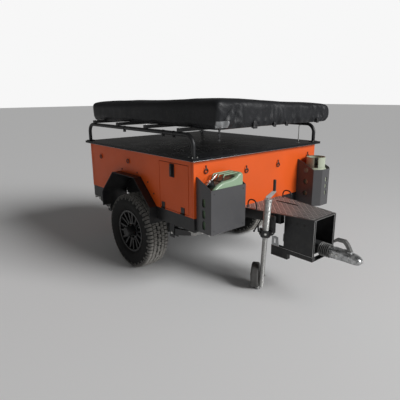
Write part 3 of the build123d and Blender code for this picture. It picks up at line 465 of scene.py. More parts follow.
orange_colour = (0.76, 0.108, 0.014)
orange = coat("orange_powder_coat", orange_colour, 0.40, dust=0.08, Specular_IOR_Level=0.35)
dress(orange, "front_panel", "side_panel_right", "side_panel_left", "rear_panel",
      "side_door_right", "side_door_left", "tailgate")

strip_near, strip_far, strip_thick = 0.022, 0.037, 0.0012
strip_foot, strip_top = 0.706, 1.155
strips = Work()
for s in sides:
    inside, outside = s * side - strip_thick, s * side + strip_thick
    for x0, x1 in ((front - strip_far, front - strip_near), (rear + strip_near, rear + strip_far)):
        strips.block((x0, inside, strip_foot), (x1, outside, strip_top), 0.0007)
strips.fit("corner_strips", orange, "orange_paint")

moulded_rubber = plain_finish("moulded_rubber", 50.0, (0.012, 0.012, 0.012), (0.024, 0.024, 0.023),
                              grain=(500.0, 0.00004), roughness=0.6)
dress(moulded_rubber, "lid_seal")

gap, clear = 0.0042, 0.0004
edging_sunk, edging_wide = 0.012, 0.005
edging = Work()
for name, across in (("side_door_right", 1), ("side_door_left", 1), ("tailgate", 0)):
    low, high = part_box(name)
    along = 1 - across
    way = 1 if low[across] > 0 else -1
    inner = (low if way > 0 else high)[across] + way * edging_sunk
    a, b = sorted((inner, inner + way * edging_wide))
    for start, end, z0, z1 in (
        (low[along] - gap, high[along] + gap, high.z + clear, high.z + gap),
        (low[along] - gap, high[along] + gap, low.z - gap, low.z - clear),
        (low[along] - gap, low[along] - clear, low.z - gap, high.z + gap),
        (high[along] + clear, high[along] + gap, low.z - gap, high.z + gap),
    ):
        corner = [0, 0, z0]
        other = [0, 0, z1]
        corner[along], other[along] = start, end
        corner[across], other[across] = a, b
        edging.block(corner, other)
edging.fit("door_edging", moulded_rubber, "rubber", smooth=0)


# Floor, sills and wheel arches
# Black powder-coated steel: folded channels below the body, and welded arches bolted through the sides.
# The arches take the stones, so they are dusty and a little scuffed.
black = coat("black_powder_coat", (0.012, 0.0125, 0.014), 0.40, dust=0.16, worn=(0.05, 0.05, 0.05))
dress(black, "body_floor", "sills", "wheel_arch_right", "wheel_arch_left", "side_hoops", "tent_carriers",
      "drawbar_arms", "drop_box", "low_rails", "drawbar_hoops", "steady_brackets", "door_hinges",
      "plate_holder")
black_bolt = coat("blackened_bolts", (0.025, 0.025, 0.026), 0.35, metallic=0.4)

wheel = Vector((-0.565, 0.749, 0.367))
flange_bolts = (
    (-0.392, 0.812), (-0.30464, 0.902), (-0.1344, 0.964), (0.1344, 0.964), (0.30464, 0.902), (0.392, 0.812))
leg_bolts = [(dx, z) for dx in (-0.449, 0.449) for z in (0.60, 0.66)]
sill_face = 0.8125
arch_bolts = []
for s in sides:
    for dx, z in flange_bolts:
        arch_bolts.append(((wheel.x + dx, s * (side + proud), z), (0, s, 0), dx / 1.12))
    for dx, z in leg_bolts:
        arch_bolts.append(((wheel.x + dx, s * sill_face, z), (0, s, 0), z))
fastened("arch_bolts", dome_rivet(0.008), arch_bolts, black_bolt, "black_paint")

lip_out = 0.892
half_arch = ((0.428, 0.553), (0.428, 0.703), (0.19, 0.934))
lips = Work()
for s in sides:
    line = [(-dx, z) for dx, z in half_arch] + list(half_arch[::-1])
    lips.tube([(wheel.x + dx, s * lip_out, z) for dx, z in line], 0.0036, steps=8)
lips.fit("arch_lips", black, "black_paint")

flap_half, flap_in, flap_out = 0.424, 0.5985, 0.6020
flaps = Work()
for s in sides:
    flaps.block((wheel.x - flap_half, s * flap_in, 0.640), (wheel.x + flap_half, s * flap_out, 0.716), 0.001)
flaps.fit("splash_strips", moulded_rubber, "rubber")


# Door hinges and latches
# Steel butt hinges, the leaf on each door held by five screws, and tall compression latches with a
# fold-down handle in a cast dish.
fittings_black = coat("cast_fittings", (0.016, 0.016, 0.017), 0.34, grain=0.00006, dust=0.1)
dress(fittings_black, "door_fittings_right", "door_fittings_left", "tailgate_fittings")

upright = Vector((0, 0, 1))
latch_height = 1.117
door_middle = front - 0.272
door_hinges = (front - 0.405, front - 0.139)
tail_latch = 0.480
latches = (
    ("right_door", (0, -1, 0), door_middle, door_hinges),
    ("left_door", (0, 1, 0), door_middle, door_hinges),
    ("tail_gate", (-1, 0, 0), -tail_latch, (-tail_latch, 0.0, tail_latch)),
    ("tail_gate", (-1, 0, 0), tail_latch, ()),
)
dish_half, dish_foot, dish_top = 0.0275, -0.115, -0.005
dish_back, dish_face = 0.0035, 0.0078
rim_side, rim_end = 0.005, 0.0048
rims = (
    (-dish_half, -dish_half + rim_side, dish_foot, dish_top),
    (dish_half - rim_side, dish_half, dish_foot, dish_top),
    (-dish_half, dish_half, dish_top - rim_end, dish_top),
    (-dish_half, dish_half, dish_foot, dish_foot + rim_end),
)
lock_profile = [(0.019, 0), (0.019, 0.0075), (0.0225, 0.0068), (0.0225, 0.003), (0.0212, 0.0025), (0.0212, 0)]
dish_screws = [(x, z) for x in (-0.018, 0.018) for z in (-0.019, -0.101)]
leaf_screws = ((-0.015, 0.728), (0.015, 0.728), (-0.015, 0.752), (0.015, 0.752), (0, 0.740))
screw = Work()
screw.turned([(0, 0), (0, 0.0042), (0.0012, 0.0038), (0.0018, 0.0022), (0.0018, 0)], steps=12)
screw = screw.mesh("screw")
for number, (body, normal, latch_at, hinges) in enumerate(latches):
    normal = Vector(normal)
    along = normal.cross(upright)
    panel, run = (normal * side, Vector((1, 0, 0))) if normal.y else (Vector((rear, 0, 0)), Vector((0, 1, 0)))
    on_panel = Matrix.Translation(panel + run * latch_at + upright * latch_height) @ Matrix((
        (along.x, normal.x, 0, 0), (along.y, normal.y, 0, 0), (0, 0, 1, 0), (0, 0, 0, 1)))
    latch = Work()
    for x0, x1, z0, z1 in rims:
        latch.block((x0, dish_back, z0), (x1, dish_face, z1), 0.0012, on_panel)
    latch.block((-0.0125, 0.0188, -0.100), (0.0125, 0.0215, -0.030), 0.0011, on_panel)
    latch.block((-0.0085, 0.0205, -0.105), (0.0085, 0.0240, -0.093), 0.0015, on_panel)
    lock_place = Matrix.Translation((0, 0, -0.020)) @ Matrix.Rotation(-pi / 2, 4, "X")
    latch.turned(lock_profile, on_panel @ lock_place, steps=20)
    latch.fit(f"latch_{number}", fittings_black, "black_paint", body, smooth=35)
    heads = [(on_panel @ Vector((x, 0.006, z)), normal, 0.0) for x, z in dish_screws]
    for at in hinges:
        leaf = panel + run * at + normal * 0.0035
        heads += [(leaf + along * offset + upright * z, normal, 0.0) for offset, z in leaf_screws]
    fastened(f"door_screws_{number}", screw, heads, black_bolt, "black_paint", body)


# Lid
# A welded steel tray in gloss black on a rubber seal, with a thin pale metal strip round its rim that stands
# for the bright reflection along the lid's lower edge, a painted highlight, and steel knuckle hinges along
# the left.
lid_paint = Paint("gloss_black_lid", Specular_IOR_Level=0.12, Coat_Weight=0.03, Coat_Roughness=0.2)
lid_paint.colour(lid_paint.noise(5.0), (0.007, 0.0075, 0.009), (0.012, 0.013, 0.015))
lid_paint.set("Roughness", lid_paint.noise(5.0, 3.0, 0.5) * 0.16 + 0.20)
lid_paint.bump(lid_paint.noise(1.6, 0.0), 0.004)
dress(lid_paint, "lid")
dress(galvanised("plated_hinges", (0.4, 0.4, 0.38), (0.7, 0.7, 0.67)), "lid_hinges")

# the pale metal strip round the lid's rim is a painted highlight for the gloss edge's reflection
lid_highlight_metal = Paint("lid_rim_painted_highlight", metallic=1.0)
brushed = lid_highlight_metal.noise(90.0, 3.0, 0.6, stretch=(0.05, 0.05, 1.0))
lid_highlight_metal.colour(brushed, (0.30, 0.31, 0.32), (0.52, 0.52, 0.52))
lid_highlight_metal.set("Roughness", brushed * 0.2 + 0.28)
lid_rear, lid_front, lid_side = -1.374, 0.412, 0.853
lid_highlight_low, lid_highlight_high, lid_highlight_out, lid_highlight_in = 1.1650, 1.1676, 0.0012, 0.004
out_rear, out_front, out_side = lid_rear - lid_highlight_out, lid_front + lid_highlight_out, lid_side + lid_highlight_out
drip_edge = Work()
for x0, x1, y0, y1 in (
    (out_rear, out_front, -out_side, lid_highlight_in - lid_side),
    (out_rear, out_front, lid_side - lid_highlight_in, out_side),
    (lid_front - lid_highlight_in, out_front, -lid_side, lid_side),
    (out_rear, lid_rear + lid_highlight_in, -lid_side, lid_side),
):
    drip_edge.block((x0, y0, lid_highlight_low), (x1, y1, lid_highlight_high), 0.0007)
drip_edge.fit("drip_edge", lid_highlight_metal, "stainless", "lid_and_tent")

hinge_lines = (front - 0.250, front - 0.855, front - 1.460)
leaf_face, leaf_height = 0.8192, 1.137
hinge_bolts = [
    ((x + dx, leaf_face, leaf_height), (0, 1, 0), dx * 30)
    for x in hinge_lines for dx in (-0.03, 0.03)
]
fastened("lid_hinge_bolts", dome_rivet(0.006), hinge_bolts, zinc_bolt, "zinc")


# Side hoops and tent carriers
# Round tube bent to a long hoop along each side of the lid, welded to bolted foot plates. Square bars lie
# across both rails and hold the tent, and small pipe clips hang on the right rail.
rail_side, rail_height = 0.803, 1.360
lid_top, foot_plate, carrier_top = 1.187, 1.192, 1.404
foot_lines = (-1.344, 0.355)
carrier_lines = (0.204, -0.266, -0.736, -1.206)
hoop_bolts = [
    ((x + dx, s * rail_side + dy, foot_plate), (0, 0, 1), dx * 20)
    for s in sides for x in foot_lines for dx in (-0.020, 0.020) for dy in (-0.025, 0.025)
]
fastened("hoop_bolts", hex_bolt(0.005), hoop_bolts, zinc_bolt, "zinc", "lid_and_tent")
carrier_bolts = [
    ((x + dx, s * rail_side, carrier_top), (0, 0, 1), dx * 20)
    for s in sides for x in carrier_lines for dx in (-0.010, 0.010)
]
fastened("carrier_bolts", dome_rivet(0.005), carrier_bolts, zinc_bolt, "zinc", "lid_and_tent")

clip_half, clip_in, clip_out = 0.010, 0.0172, 0.0195
ear_out, clip_bolt_height = 0.0075, 1.331
clips = Work()
for x in (-0.635, -0.022, 0.120):
    clips.turned([(-clip_half, clip_in), (-clip_half, clip_out), (clip_half, clip_out), (clip_half, clip_in)],
                 seat((x, -rail_side, rail_height), (1, 0, 0)), steps=28, closed=True)
    for y in (-rail_side - ear_out, -rail_side + ear_out):
        clips.block((x - 0.009, y - 0.002, 1.322), (x + 0.009, y + 0.002, 1.342), 0.001)
    clips.turned([(-0.013, 0), (-0.013, 0.005), (0.013, 0.005), (0.013, 0)],
                 seat((x, -rail_side, clip_bolt_height), (0, 1, 0)), steps=6)
clips.fit("rail_clips", fittings_black, "black_paint", "lid_and_tent")

stay_foot = Vector((0.196, 0.780, lid_top))
stay = Work()
stay.tube(rounded([stay_foot, (0.196, 0.780, 1.330), (0.196, 0.796, 1.345)], 0.012), 0.005)
stay.turned([(0, 0), (0, 0.009), (0.003, 0.009), (0.004, 0.004), (0.004, 0)], seat(stay_foot), steps=18)
stay.fit("lid_stay_rod", zinc_bolt, "zinc", "lid_and_tent")


# Folded tent in its soft cover
# The folded tent fills a fitted cover of coated polyester cloth. The lower hem gathers the cloth at the
# front, and straps with side-release buckles hold it to the base below.
cover_cloth = Paint("coated_tent_cloth", Specular_IOR_Level=0.36)
threads = [(place * 2900.0).math("SINE") for place in cover_cloth.axes()]
weave = threads[0] * threads[1] * threads[2]
cover_cloth.colour(cover_cloth.noise(3.5, 5.0, 0.6), (0.006, 0.0066, 0.008), (0.013, 0.0139, 0.0165))
cover_cloth.set("Roughness", cover_cloth.noise(8.0, 4.0) * 0.2 + 0.34)
puckers = cover_cloth.noise(24.0, 3.0, 0.5, stretch=(1.0, 1.0, 0.35))
cover_cloth.bump(cover_cloth.noise(9.0, 4.0, 0.55) * 8.0 + puckers * 5.0 + weave * 0.4, 0.00032)

# the tent is folded a little lower towards the rear, towards the left, and at its left end
tent_low, tent_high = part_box("tent_cover")
rear_fall, left_fall, end_fall = 0.042, 0.040, 0.028
rear_overhang = 0.058
cover_corner, cover_crown = 0.040, 0.05
swell_room, swell_limit, settling_frames = 0.010, 0.015, 20


def rounded_box_mesh(name, low, high, corner, crown, corner_steps=8, crown_steps=6):
    # an upright box with round corners, turned in at its foot and crowned at its top
    work = Work()
    levels = [(low.z, 0.030), (low.z + 0.009, 0.009), (low.z + 0.030, 0.0)]
    for k in range(crown_steps + 1):
        turn = pi / 2 * k / crown_steps
        levels.append((high.z - crown + crown * sin(turn), crown * (1 - cos(turn))))
    loops = []
    corners = ((high.x, high.y, 0), (low.x, high.y, 90), (low.x, low.y, 180), (high.x, low.y, 270))
    for z, inset in levels:
        loop = []
        for cx, cy, start in corners:
            mx = cx - corner * (1 if cx > 0 else -1)
            my = cy - corner * (1 if cy > 0 else -1)
            for k in range(corner_steps + 1):
                turn = radians(start + 90 * k / corner_steps)
                loop.append((mx + (corner - inset) * cos(turn), my + (corner - inset) * sin(turn), z))
        loops.append(work.loop(loop))
    work.skin(loops)
    return work.mesh(name)


def cover_blank():
    # the cover before its cloth settles, in even faces
    low = Vector((tent_low.x - rear_overhang + swell_room, tent_low.y + swell_room, tent_low.z + 0.004))
    high = Vector((tent_high.x - swell_room, tent_high.y, tent_high.z - swell_room))
    box = rounded_box_mesh("soft_cover", low, high, cover_corner, cover_crown)
    blank = bpy.data.objects.new("soft_cover", box)
    bpy.context.scene.collection.objects.link(blank)
    for vert in blank.data.vertices:
        rise = (vert.co.z - low.z) / (high.z - low.z)
        aft = (high.x - vert.co.x) / (high.x - low.x)
        left = (vert.co.y - low.y) / (high.y - low.y)
        fall = aft * rear_fall + left * left_fall + end_fall * max(0.0, (left - 0.80) / 0.20)
        vert.co.z -= rise * fall
    remesh = blank.modifiers.new("remesh", "REMESH")
    remesh.mode = "VOXEL"
    remesh.voxel_size = 0.021
    blank.data = as_mesh(blank)
    blank.modifiers.clear()
    return blank


cover = cover_blank()
start = [vert.co.copy() for vert in cover.data.vertices]
cloth = cover.modifiers.new("cloth", "CLOTH")
cloth.settings.quality = 4
cloth.settings.mass = 0.4
cloth.settings.tension_stiffness = 12
cloth.settings.compression_stiffness = 4
cloth.settings.bending_stiffness = 0.4
cloth.settings.use_pressure = True
cloth.settings.uniform_pressure_force = 4.0
cloth.settings.effector_weights.gravity = 0.0
for frame_number in range(1, settling_frames + 1):
    bpy.context.scene.frame_set(frame_number)
cover.data = as_mesh(cover)
cover.modifiers.clear()
bpy.context.scene.frame_set(1)
for vert, before in zip(cover.data.vertices, start):
    move = vert.co - before
    if move.length > swell_limit:
        vert.co = before + move * (swell_limit / move.length)

smoother = cover.modifiers.new("subdivision", "SUBSURF")
smoother.levels = smoother.render_levels = 1
fine = as_mesh(cover)
cover.modifiers.clear()
bpy.data.objects.remove(cover)


def share(value):
    # held between nought and one
    return max(0.0, min(1.0, value))


def crease(distance, width):
    return exp(-(distance / width) ** 2)


def waver(*place):
    return noise.noise(Vector(place))


pinches = (
    # at y, slant, depth, width
    (-0.640, 0.42, 0.030, 0.020),
    (-0.535, 0.24, 0.024, 0.017),
    (-0.430, -0.10, 0.012, 0.016),
    (0.255, 0.18, 0.010, 0.020),
    (0.52, -0.30, 0.014, 0.020),
    (0.63, -0.50, 0.016, 0.018),
)
top_seams = (-1.0, -0.42, 0.16)
hem_height, hem_width = 0.10, 0.05


def draped(co):
    # the gathers, creases and seams of the cover, as an offset at this point
    x, y, z = co
    rise = (z - tent_low.z) / (tent_high.z - tent_low.z)
    hem = crease(rise - hem_height, hem_width)
    offset = Vector((0, 0, 0))
    # the hem sags a little wherever no cross bar holds it up
    rim = share((max(abs(y) - tent_high.y, x - tent_high.x, tent_low.x - x) + 0.10) / 0.09)
    held = max(crease(x - line, 0.055) for line in carrier_lines)
    offset.z -= 0.016 * rim * max(0.0, 1 - rise / 0.5) * (1 - held)
    face = share((x - (tent_high.x - 0.060)) / 0.04)
    if face > 0 and rise < 0.98:
        # gathers fan up from the hem, each at its own height, and die out below the top
        fade = max(0.0, 1 - rise / (0.62 + 0.25 * waver(y * 6.0, 0.3, 9.1))) ** 0.8
        sway = 0.05 * rise * sin(y * 7.0)
        ripple = sin((y + sway) * 82 + 2.4 * sin(y * 8.5))
        broad = sin((y - sway) * 36 + 1.6 * sin(y * 5.0))
        offset.x += face * fade * (ripple * 0.0085 + broad * 0.0075 - 0.006)
        offset.x += face * waver(y * 5.5, rise * 1.4, 3.1) * 0.011
        offset.x += face * waver(y * 19 + rise * 5, rise * 3.2 - y * 3, 6.1) * 0.005
        offset.x -= face * hem * 0.010
    for at, slant, depth, width in pinches:
        line = (y - at) - slant * (rise - 0.30) * 0.34
        offset.x -= face * crease(line, width) * max(0.0, 1 - abs(rise - 0.30) / 0.46) * depth
    side_face = share((abs(y) - (tent_high.y - 0.060)) / 0.04)
    if side_face > 0 and rise < 0.95:
        way = 1 if y > 0 else -1
        swell = waver(x * 3.2, rise * 1.5, 7.7)
        ripple = waver(x * 15, rise * 1.3, 1.3)
        offset.y += way * side_face * (swell * 0.008 + ripple * 0.004 * max(0.0, 1 - rise / 0.7))
        offset.y -= way * side_face * hem * 0.007
        if way > 0:
            offset.y += side_face * crease(rise - 0.34, 0.30) * 0.026
    rear_face = share(((tent_low.x + 0.030) - x) / 0.04)
    if rear_face > 0 and rise < 0.9:
        fade = max(0.0, 1 - rise / (0.60 + 0.35 * waver(y * 5.0, 2.3, 1.1)))
        ripple = sin(y * 58 + 3.5 * sin(y * 5.3)) * (0.55 + waver(y * 4.0, 7.0, 0.4))
        offset.x += rear_face * fade * (ripple * 0.009 - 0.002)
        offset.x += rear_face * waver(y * 5.0, rise * 1.5, 8.2) * 0.010
    top_face = share((rise - 0.70) / 0.1)
    if top_face > 0:
        offset.z += top_face * waver(x * 2.3, y * 2.1, 5.0) * 0.009
        offset.z += top_face * waver(x * 7.0, y * 6.0, 2.0) * 0.003
        for line in top_seams:
            offset.z -= top_face * 0.004 * crease(x - line, 0.014)
    return offset


for vert in fine.vertices:
    vert.co += draped(vert.co)
for face in fine.polygons:
    face.use_smooth = True
tent_piece = fitted("tent_soft_cover", fine, cover_cloth, "cover_fabric", "lid_and_tent", smooth=0,
                    instead_of="tent_cover")

webbing = Paint("polyester_webbing", roughness=0.8)
webbing.colour(webbing.noise(60.0), (0.012, 0.012, 0.013), (0.028, 0.028, 0.030))
ribs = [(place * 1800.0).math("SINE") * 0.5 for place in webbing.axes()[:0:-1]]
webbing.bump(ribs[0] + ribs[1], 0.0003)
cover_tree = BVHTree.FromPolygons(
    [vert.co for vert in fine.vertices], [face.vertices for face in fine.polygons])


def cover_front(y, z):
    # where the cover's front lies at this height, or just above its hem
    for k in range(12):
        hit = cover_tree.ray_cast(Vector((tent_high.x + 0.20, y, z + 0.008 * k)), Vector((-1, 0, 0)))[0]
        if hit and hit.x > tent_high.x - 0.06:
            return hit.x
    return tent_high.x


def against(work, y0, y1, z0, z1, thick, across=2, up=8):
    # a thin sheet following the cover's front
    rows = []
    for i in range(up + 1):
        z = z0 + (z1 - z0) * i / up
        ys = [y0 + (y1 - y0) * j / across for j in range(across + 1)]
        fronts = [cover_front(y, z) for y in ys]
        back = [(x - 0.001, y, z) for x, y in zip(fronts, ys)]
        rows.append(work.loop([(x + thick, y, z) for x, y in zip(fronts, ys)] + back[::-1]))
    work.skin(rows)


strap_places = (
    # at y, half width, foot, top
    (-0.690, 0.0090, 1.318, 1.425),
    (-0.314, 0.0125, 1.395, 1.460),
    (-0.061, 0.0125, 1.398, 1.430),
    (0.103, 0.0125, 1.398, 1.430),
    (0.560, 0.0125, 1.398, 1.440),
)
straps = Work()
for y, half, z0, z1 in strap_places:
    against(straps, y - half, y + half, z0, z1, 0.0028)
straps.fit("cover_straps", webbing, "cover_fabric", "lid_and_tent")

buckle_plastic = plain_finish("moulded_plastic", 40.0, (0.014, 0.014, 0.015), (0.03, 0.03, 0.032),
                              roughness=0.4)
buckle_half, buckle_tall = 0.019, 0.024
buckles = Work()
for y, z, scale in ((-0.314, 1.421, 1.25), (-0.061, 1.410, 0.8), (0.103, 1.410, 0.8), (0.560, 1.414, 0.8)):
    half, tall = buckle_half * scale, buckle_tall * scale
    x = max(cover_front(y, z + dz) for dz in (-tall, 0, tall)) + 0.0015
    buckles.block((x, y - half, z - tall), (x + 0.010, y + half, z - tall * 0.2), 0.002)
    buckles.block((x, y - half * 0.8, z - tall * 0.1), (x + 0.008, y + half * 0.8, z + tall), 0.002)
    for s in sides:
        prong = y + s * half * 0.75
        buckles.block((x + 0.001, prong - 0.003, z - tall * 0.3),
                      (x + 0.009, prong + 0.003, z + tall * 0.3), 0.001)
buckles.fit("cover_buckles", buckle_plastic, "black_plastic", "lid_and_tent")

silver_film = plain_finish("reflective_film", 400.0, (0.16, 0.165, 0.17), (0.27, 0.275, 0.28), roughness=0.35)
patch = Work()
against(patch, -0.727, -0.617, 1.415, 1.464, 0.0030, across=30, up=14)
patch.fit("reflective_patch", silver_film, "cover_fabric", "lid_and_tent")


# Drawbar plate and tie-down hoops
# Steel chequer plate laid over the converging arms, with raised lozenges in alternating rows. Their tops are
# painted pale, partly as bare steel where the black coat wears and partly as painted glints.
plate_low, plate_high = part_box("drawbar_cover")
plate_top = plate_high.z
chequer_paint = Paint("chequer_plate_coat", metallic=0.3)
on_crest = chequer_paint.ramp(chequer_paint.axes()[2], plate_top + 0.00105, plate_top + 0.00135)
# the lozenge tops are painted pale: worn bare steel, and painted glints
crest_wear_and_glint = on_crest * (chequer_paint.noise(28.0, 4.0, 0.7) * 1.2 + 0.25)
road_dust = chequer_paint.ramp(chequer_paint.noise(7.0, 5.0, 0.6), 0.45, 0.75) * 0.25
chequer_cloud = chequer_paint.noise(12.0, 4.0, 0.6)
chequer_base = chequer_paint.mix(chequer_cloud, (0.045, 0.044, 0.045), (0.085, 0.082, 0.082))
chequer_base = chequer_paint.mix(road_dust, chequer_base, (0.30, 0.26, 0.24))
chequer_paint.colour(crest_wear_and_glint, chequer_base, (0.66, 0.65, 0.63))
chequer_paint.set("Roughness", chequer_paint.noise(22.0) * 0.2 + 0.26)
chequer_paint.bump(chequer_paint.noise(420.0), 0.0001)
dress(chequer_paint, "drawbar_cover")

long_half, wide_half, lozenge_corners = 0.0165, 0.0050, 12
lozenge_levels = ((1, 0), (0.92, 0.0012), (0.74, 0.0020))
lozenge_outline = []
for k in range(lozenge_corners):
    turn = 2 * pi * k / lozenge_corners
    fuller = 1.0 + 0.25 * abs(cos(turn))
    lozenge_outline.append((long_half * cos(turn), wide_half * sin(turn) * fuller))
lozenge = Work()
lozenge.skin([
    lozenge.loop([(x * size, y * size, z) for x, y in lozenge_outline]) for size, z in lozenge_levels])
step, border, first_row = 0.0285, 0.016, 0.012
plate_half, plate_taper = 0.2886, 0.2
lozenges = []
for i in range(int((plate_high.x - plate_low.x) / step)):
    x = plate_low.x + first_row + i * step
    half = plate_half - plate_taper * (x - plate_low.x) - border
    for j in range(-10, 11):
        if abs(j * step) < half:
            lozenges.append(((x, j * step, plate_top), (0, 0, 1), pi / 4 if (i + j) % 2 else -pi / 4))
fastened("chequer_lozenges", lozenge.mesh("lozenge"), lozenges, chequer_paint, "chequer", smooth=50)

rod_ends = ((0.479, 0.096), (0.691, 0.106))
rod_radius = 0.0045
rod_foot = [(0, 0), (0, 0.009), (0.004, 0.009), (0.006, 0.006), (0.006, 0)]
rod = Work()
rod.tube([(x, y, plate_top + rod_radius) for x, y in rod_ends], rod_radius, steps=10)
for x, y in rod_ends:
    rod.turned(rod_foot, seat((x, y, plate_top)), steps=18)
rod.fit("plate_rod", black, "black_paint")

hoop_y = 0.2456
weld_profile = [(0, 0.0062), (0, 0.010), (0.0025, 0.0095), (0.0055, 0.0062)]
welds = Work()
for s in sides:
    for x in (0.431, 0.527):
        welds.turned(weld_profile, seat((x, s * hoop_y, plate_top)), steps=20, closed=True)
welds.fit("hoop_welds", black, "black_paint")


# Drop box, lower rails and overrun device
# Folded channel sides close the drawbar's front end. The overrun device is bolted across the lower rails,
# its cast housing greased and dull, with a rubber bellows over the shaft.
cast_iron = coat("cast_iron_paint", (0.030, 0.031, 0.032), 0.5, grain=0.00012, dust=0.25)
dress(cast_iron, "overrun_housing", "hub_right", "hub_left")
box_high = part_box("drop_box")[1]
box_front, box_side = box_high.x, box_high.y
box_bolts = []
for s in sides:
    for x in (0.80, 0.93, 1.015):
        box_bolts.append(((x, s * (box_side + proud), 0.412), (0, s, 0), x))
    for z in (0.43, 0.50, 0.57, 0.64):
        box_bolts.append(((box_front + proud, s * 0.141, z), (1, 0, 0), z))
fastened("drop_box_bolts", dome_rivet(0.0045), box_bolts, black_bolt, "black_paint")

plug_profile = [
    (-0.007, 0.0), (-0.007, 0.0078), (0.0, 0.0078), (0.0, 0.0110), (0.0016, 0.0105), (0.0020, 0.0060),
    (0.0006, 0.0050), (0.0006, 0.0),
]
plugs = Work()
for s in sides:
    for x in (0.814, 0.884, 0.954):
        plugs.turned(plug_profile, seat((x, s * box_side, 0.640), (0, s, 0)), steps=24)
plugs.fit("hole_plugs", moulded_rubber, "rubber")

housing_bolts = [((x, y, 0.402), (0, 0, 1), x) for x in (0.83, 0.90, 0.97) for y in (-0.075, 0.075)]
fastened("housing_bolts", hex_bolt(0.008), housing_bolts, zinc_bolt, "zinc")

# thin pale steel strips along the lower rails' tops and the box's front edges: painted edge highlights
edge_highlight_paint = Paint("edge_highlight_metal", roughness=0.35, metallic=0.9)
edge_highlight_paint.colour(edge_highlight_paint.noise(45.0, 4.0), (0.45, 0.45, 0.45), (0.80, 0.79, 0.77))
edge_back, edge_face, edge_bevel = box_front - 0.0008, box_front + 0.0008, 0.0004
rail_start, rail_end, rail_top, highlight_reach = 0.631, 1.0415, 0.3935, 0.001
edges = Work()
for s in sides:
    edges.block((rail_start, s * box_side - highlight_reach, rail_top - highlight_reach),
                (rail_end, s * box_side + highlight_reach, rail_top + highlight_reach), edge_bevel)
    for y, half in ((0.1545, 0.0012), (0.132, 0.0010)):
        edges.block((edge_back, s * y - half, 0.398), (edge_face, s * y + half, 0.698), edge_bevel)
edges.block((edge_back, -0.154, 0.6985), (edge_face, 0.154, 0.7005), edge_bevel)
edges.fit("rubbed_edges", edge_highlight_paint, "zinc", smooth=0)

boot_low, boot_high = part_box("bellows")
shaft_height = 0.430
folds, fold_steps = 6, 12
fold_middle, fold_deep = 0.050, 0.006
boot_inside, boot_length = 0.036, boot_high.x - boot_low.x
boot_rubber = Paint("bellows_rubber", roughness=0.30)
boot_y, boot_z = boot_rubber.axes()[1:]
from_shaft = (boot_y * boot_y + (boot_z - shaft_height) * (boot_z - shaft_height)).math("SQRT")
# the fold crests are painted pale grey: scuffed rubber, and painted highlights along the ridges
crest_scuff_and_highlight = boot_rubber.ramp(from_shaft, 0.0510, 0.0555) * (boot_rubber.noise(25.0, 4.0) + 0.25)
boot_base = boot_rubber.mix(boot_rubber.noise(30.0), (0.010, 0.010, 0.010), (0.026, 0.026, 0.025))
boot_rubber.colour(crest_scuff_and_highlight, boot_base, (0.30, 0.30, 0.29))
boot_rubber.bump(boot_rubber.noise(300.0), 0.00005)
boot_profile = [(0.0, boot_inside), (0.0, fold_middle - fold_deep)]
for k in range(folds * fold_steps + 1):
    fold = k / fold_steps
    boot_profile.append((boot_length * fold / folds, fold_middle - fold_deep * cos(2 * pi * fold)))
boot_profile.append((boot_length, boot_inside))
boot = Work()
boot.turned(boot_profile, seat((boot_low.x, 0, shaft_height), (1, 0, 0)), steps=56, closed=True)
boot.fit("bellows_boot", boot_rubber, "rubber", smooth=60, instead_of="bellows")
boot_ties = Work()
for x in (1.0205, 1.1115):
    boot_ties.turned([(-0.002, 0.0435), (-0.002, 0.0465), (0.002, 0.0465), (0.002, 0.0435)],
                     seat((x, 0, shaft_height), (1, 0, 0)), steps=48, closed=True)
boot_ties.fit("bellows_clamps", zinc_bolt, "zinc")


# Coupling head and handle
# A pressed steel ball coupling, zinc plated, with a spring-loaded loop handle in cast iron.
plated = Paint("plated_pressing", metallic=0.85)
plated_cloud = plated.ramp(plated.noise(24.0, 6.0, 0.65), 0.36, 0.66)
plated.colour(plated_cloud, (0.16, 0.165, 0.17), (0.82, 0.83, 0.83))
plated.set("Roughness", plated_cloud * 0.25 + 0.2)
plated.bump(plated.noise(38.0, 4.0) * 4.0 + plated.noise(160.0), 0.0004)
head_sections = (
    # at x, half width, foot, top, corner
    (1.1155, 0.0400, 0.398, 0.466, 0.012),
    (1.1400, 0.0440, 0.397, 0.470, 0.014),
    (1.2000, 0.0430, 0.397, 0.469, 0.018),
    (1.2500, 0.0400, 0.398, 0.466, 0.022),
    (1.2900, 0.0400, 0.397, 0.466, 0.028),
    (1.3250, 0.0410, 0.397, 0.462, 0.031),
    (1.3500, 0.0375, 0.398, 0.450, 0.026),
    (1.3660, 0.0300, 0.401, 0.438, 0.018),
    (1.3735, 0.0200, 0.406, 0.428, 0.010),
)
corner_steps = 6
lip_wide, lip_turned, lip_tall = 0.002, 0.006, 0.002
head = Work()
head_loops = []
for x, half, foot, top, corner in head_sections:
    line = []
    for way, begin in ((1, 0), (-1, 90)):
        for k in range(corner_steps + 1):
            turn = radians(begin + 90 * k / corner_steps)
            line.append((way * (half - corner) + corner * cos(turn), top - corner + corner * sin(turn)))
    lip = [(half - lip_turned, foot), (half + lip_wide, foot), (half + lip_wide, foot + lip_tall),
           (half, foot + 2 * lip_tall)]
    line += [(-y, z) for y, z in lip[::-1]] + lip
    head_loops.append(head.loop([(x, y, z) for y, z in line]))
head.skin(head_loops)
head.block((1.2550, -0.0200, 0.462), (1.2900, 0.0200, 0.4775), 0.004)
head.tube([(1.250, 0.0, 0.4775), (1.222, 0.0, 0.4775)], 0.006)
head.fit("coupling_shell", plated, "zinc", smooth=42, instead_of="coupling_head")
dress(galvanised("plated_handle", (0.045, 0.045, 0.045), (0.34, 0.34, 0.33)), "coupling_handle")
head_bolts = [((x, s * 0.0435, shaft_height), (0, s, 0), 0.2) for s in sides for x in (1.145, 1.185)]
fastened("coupling_bolts", hex_bolt(0.009), head_bolts, zinc_bolt, "zinc")


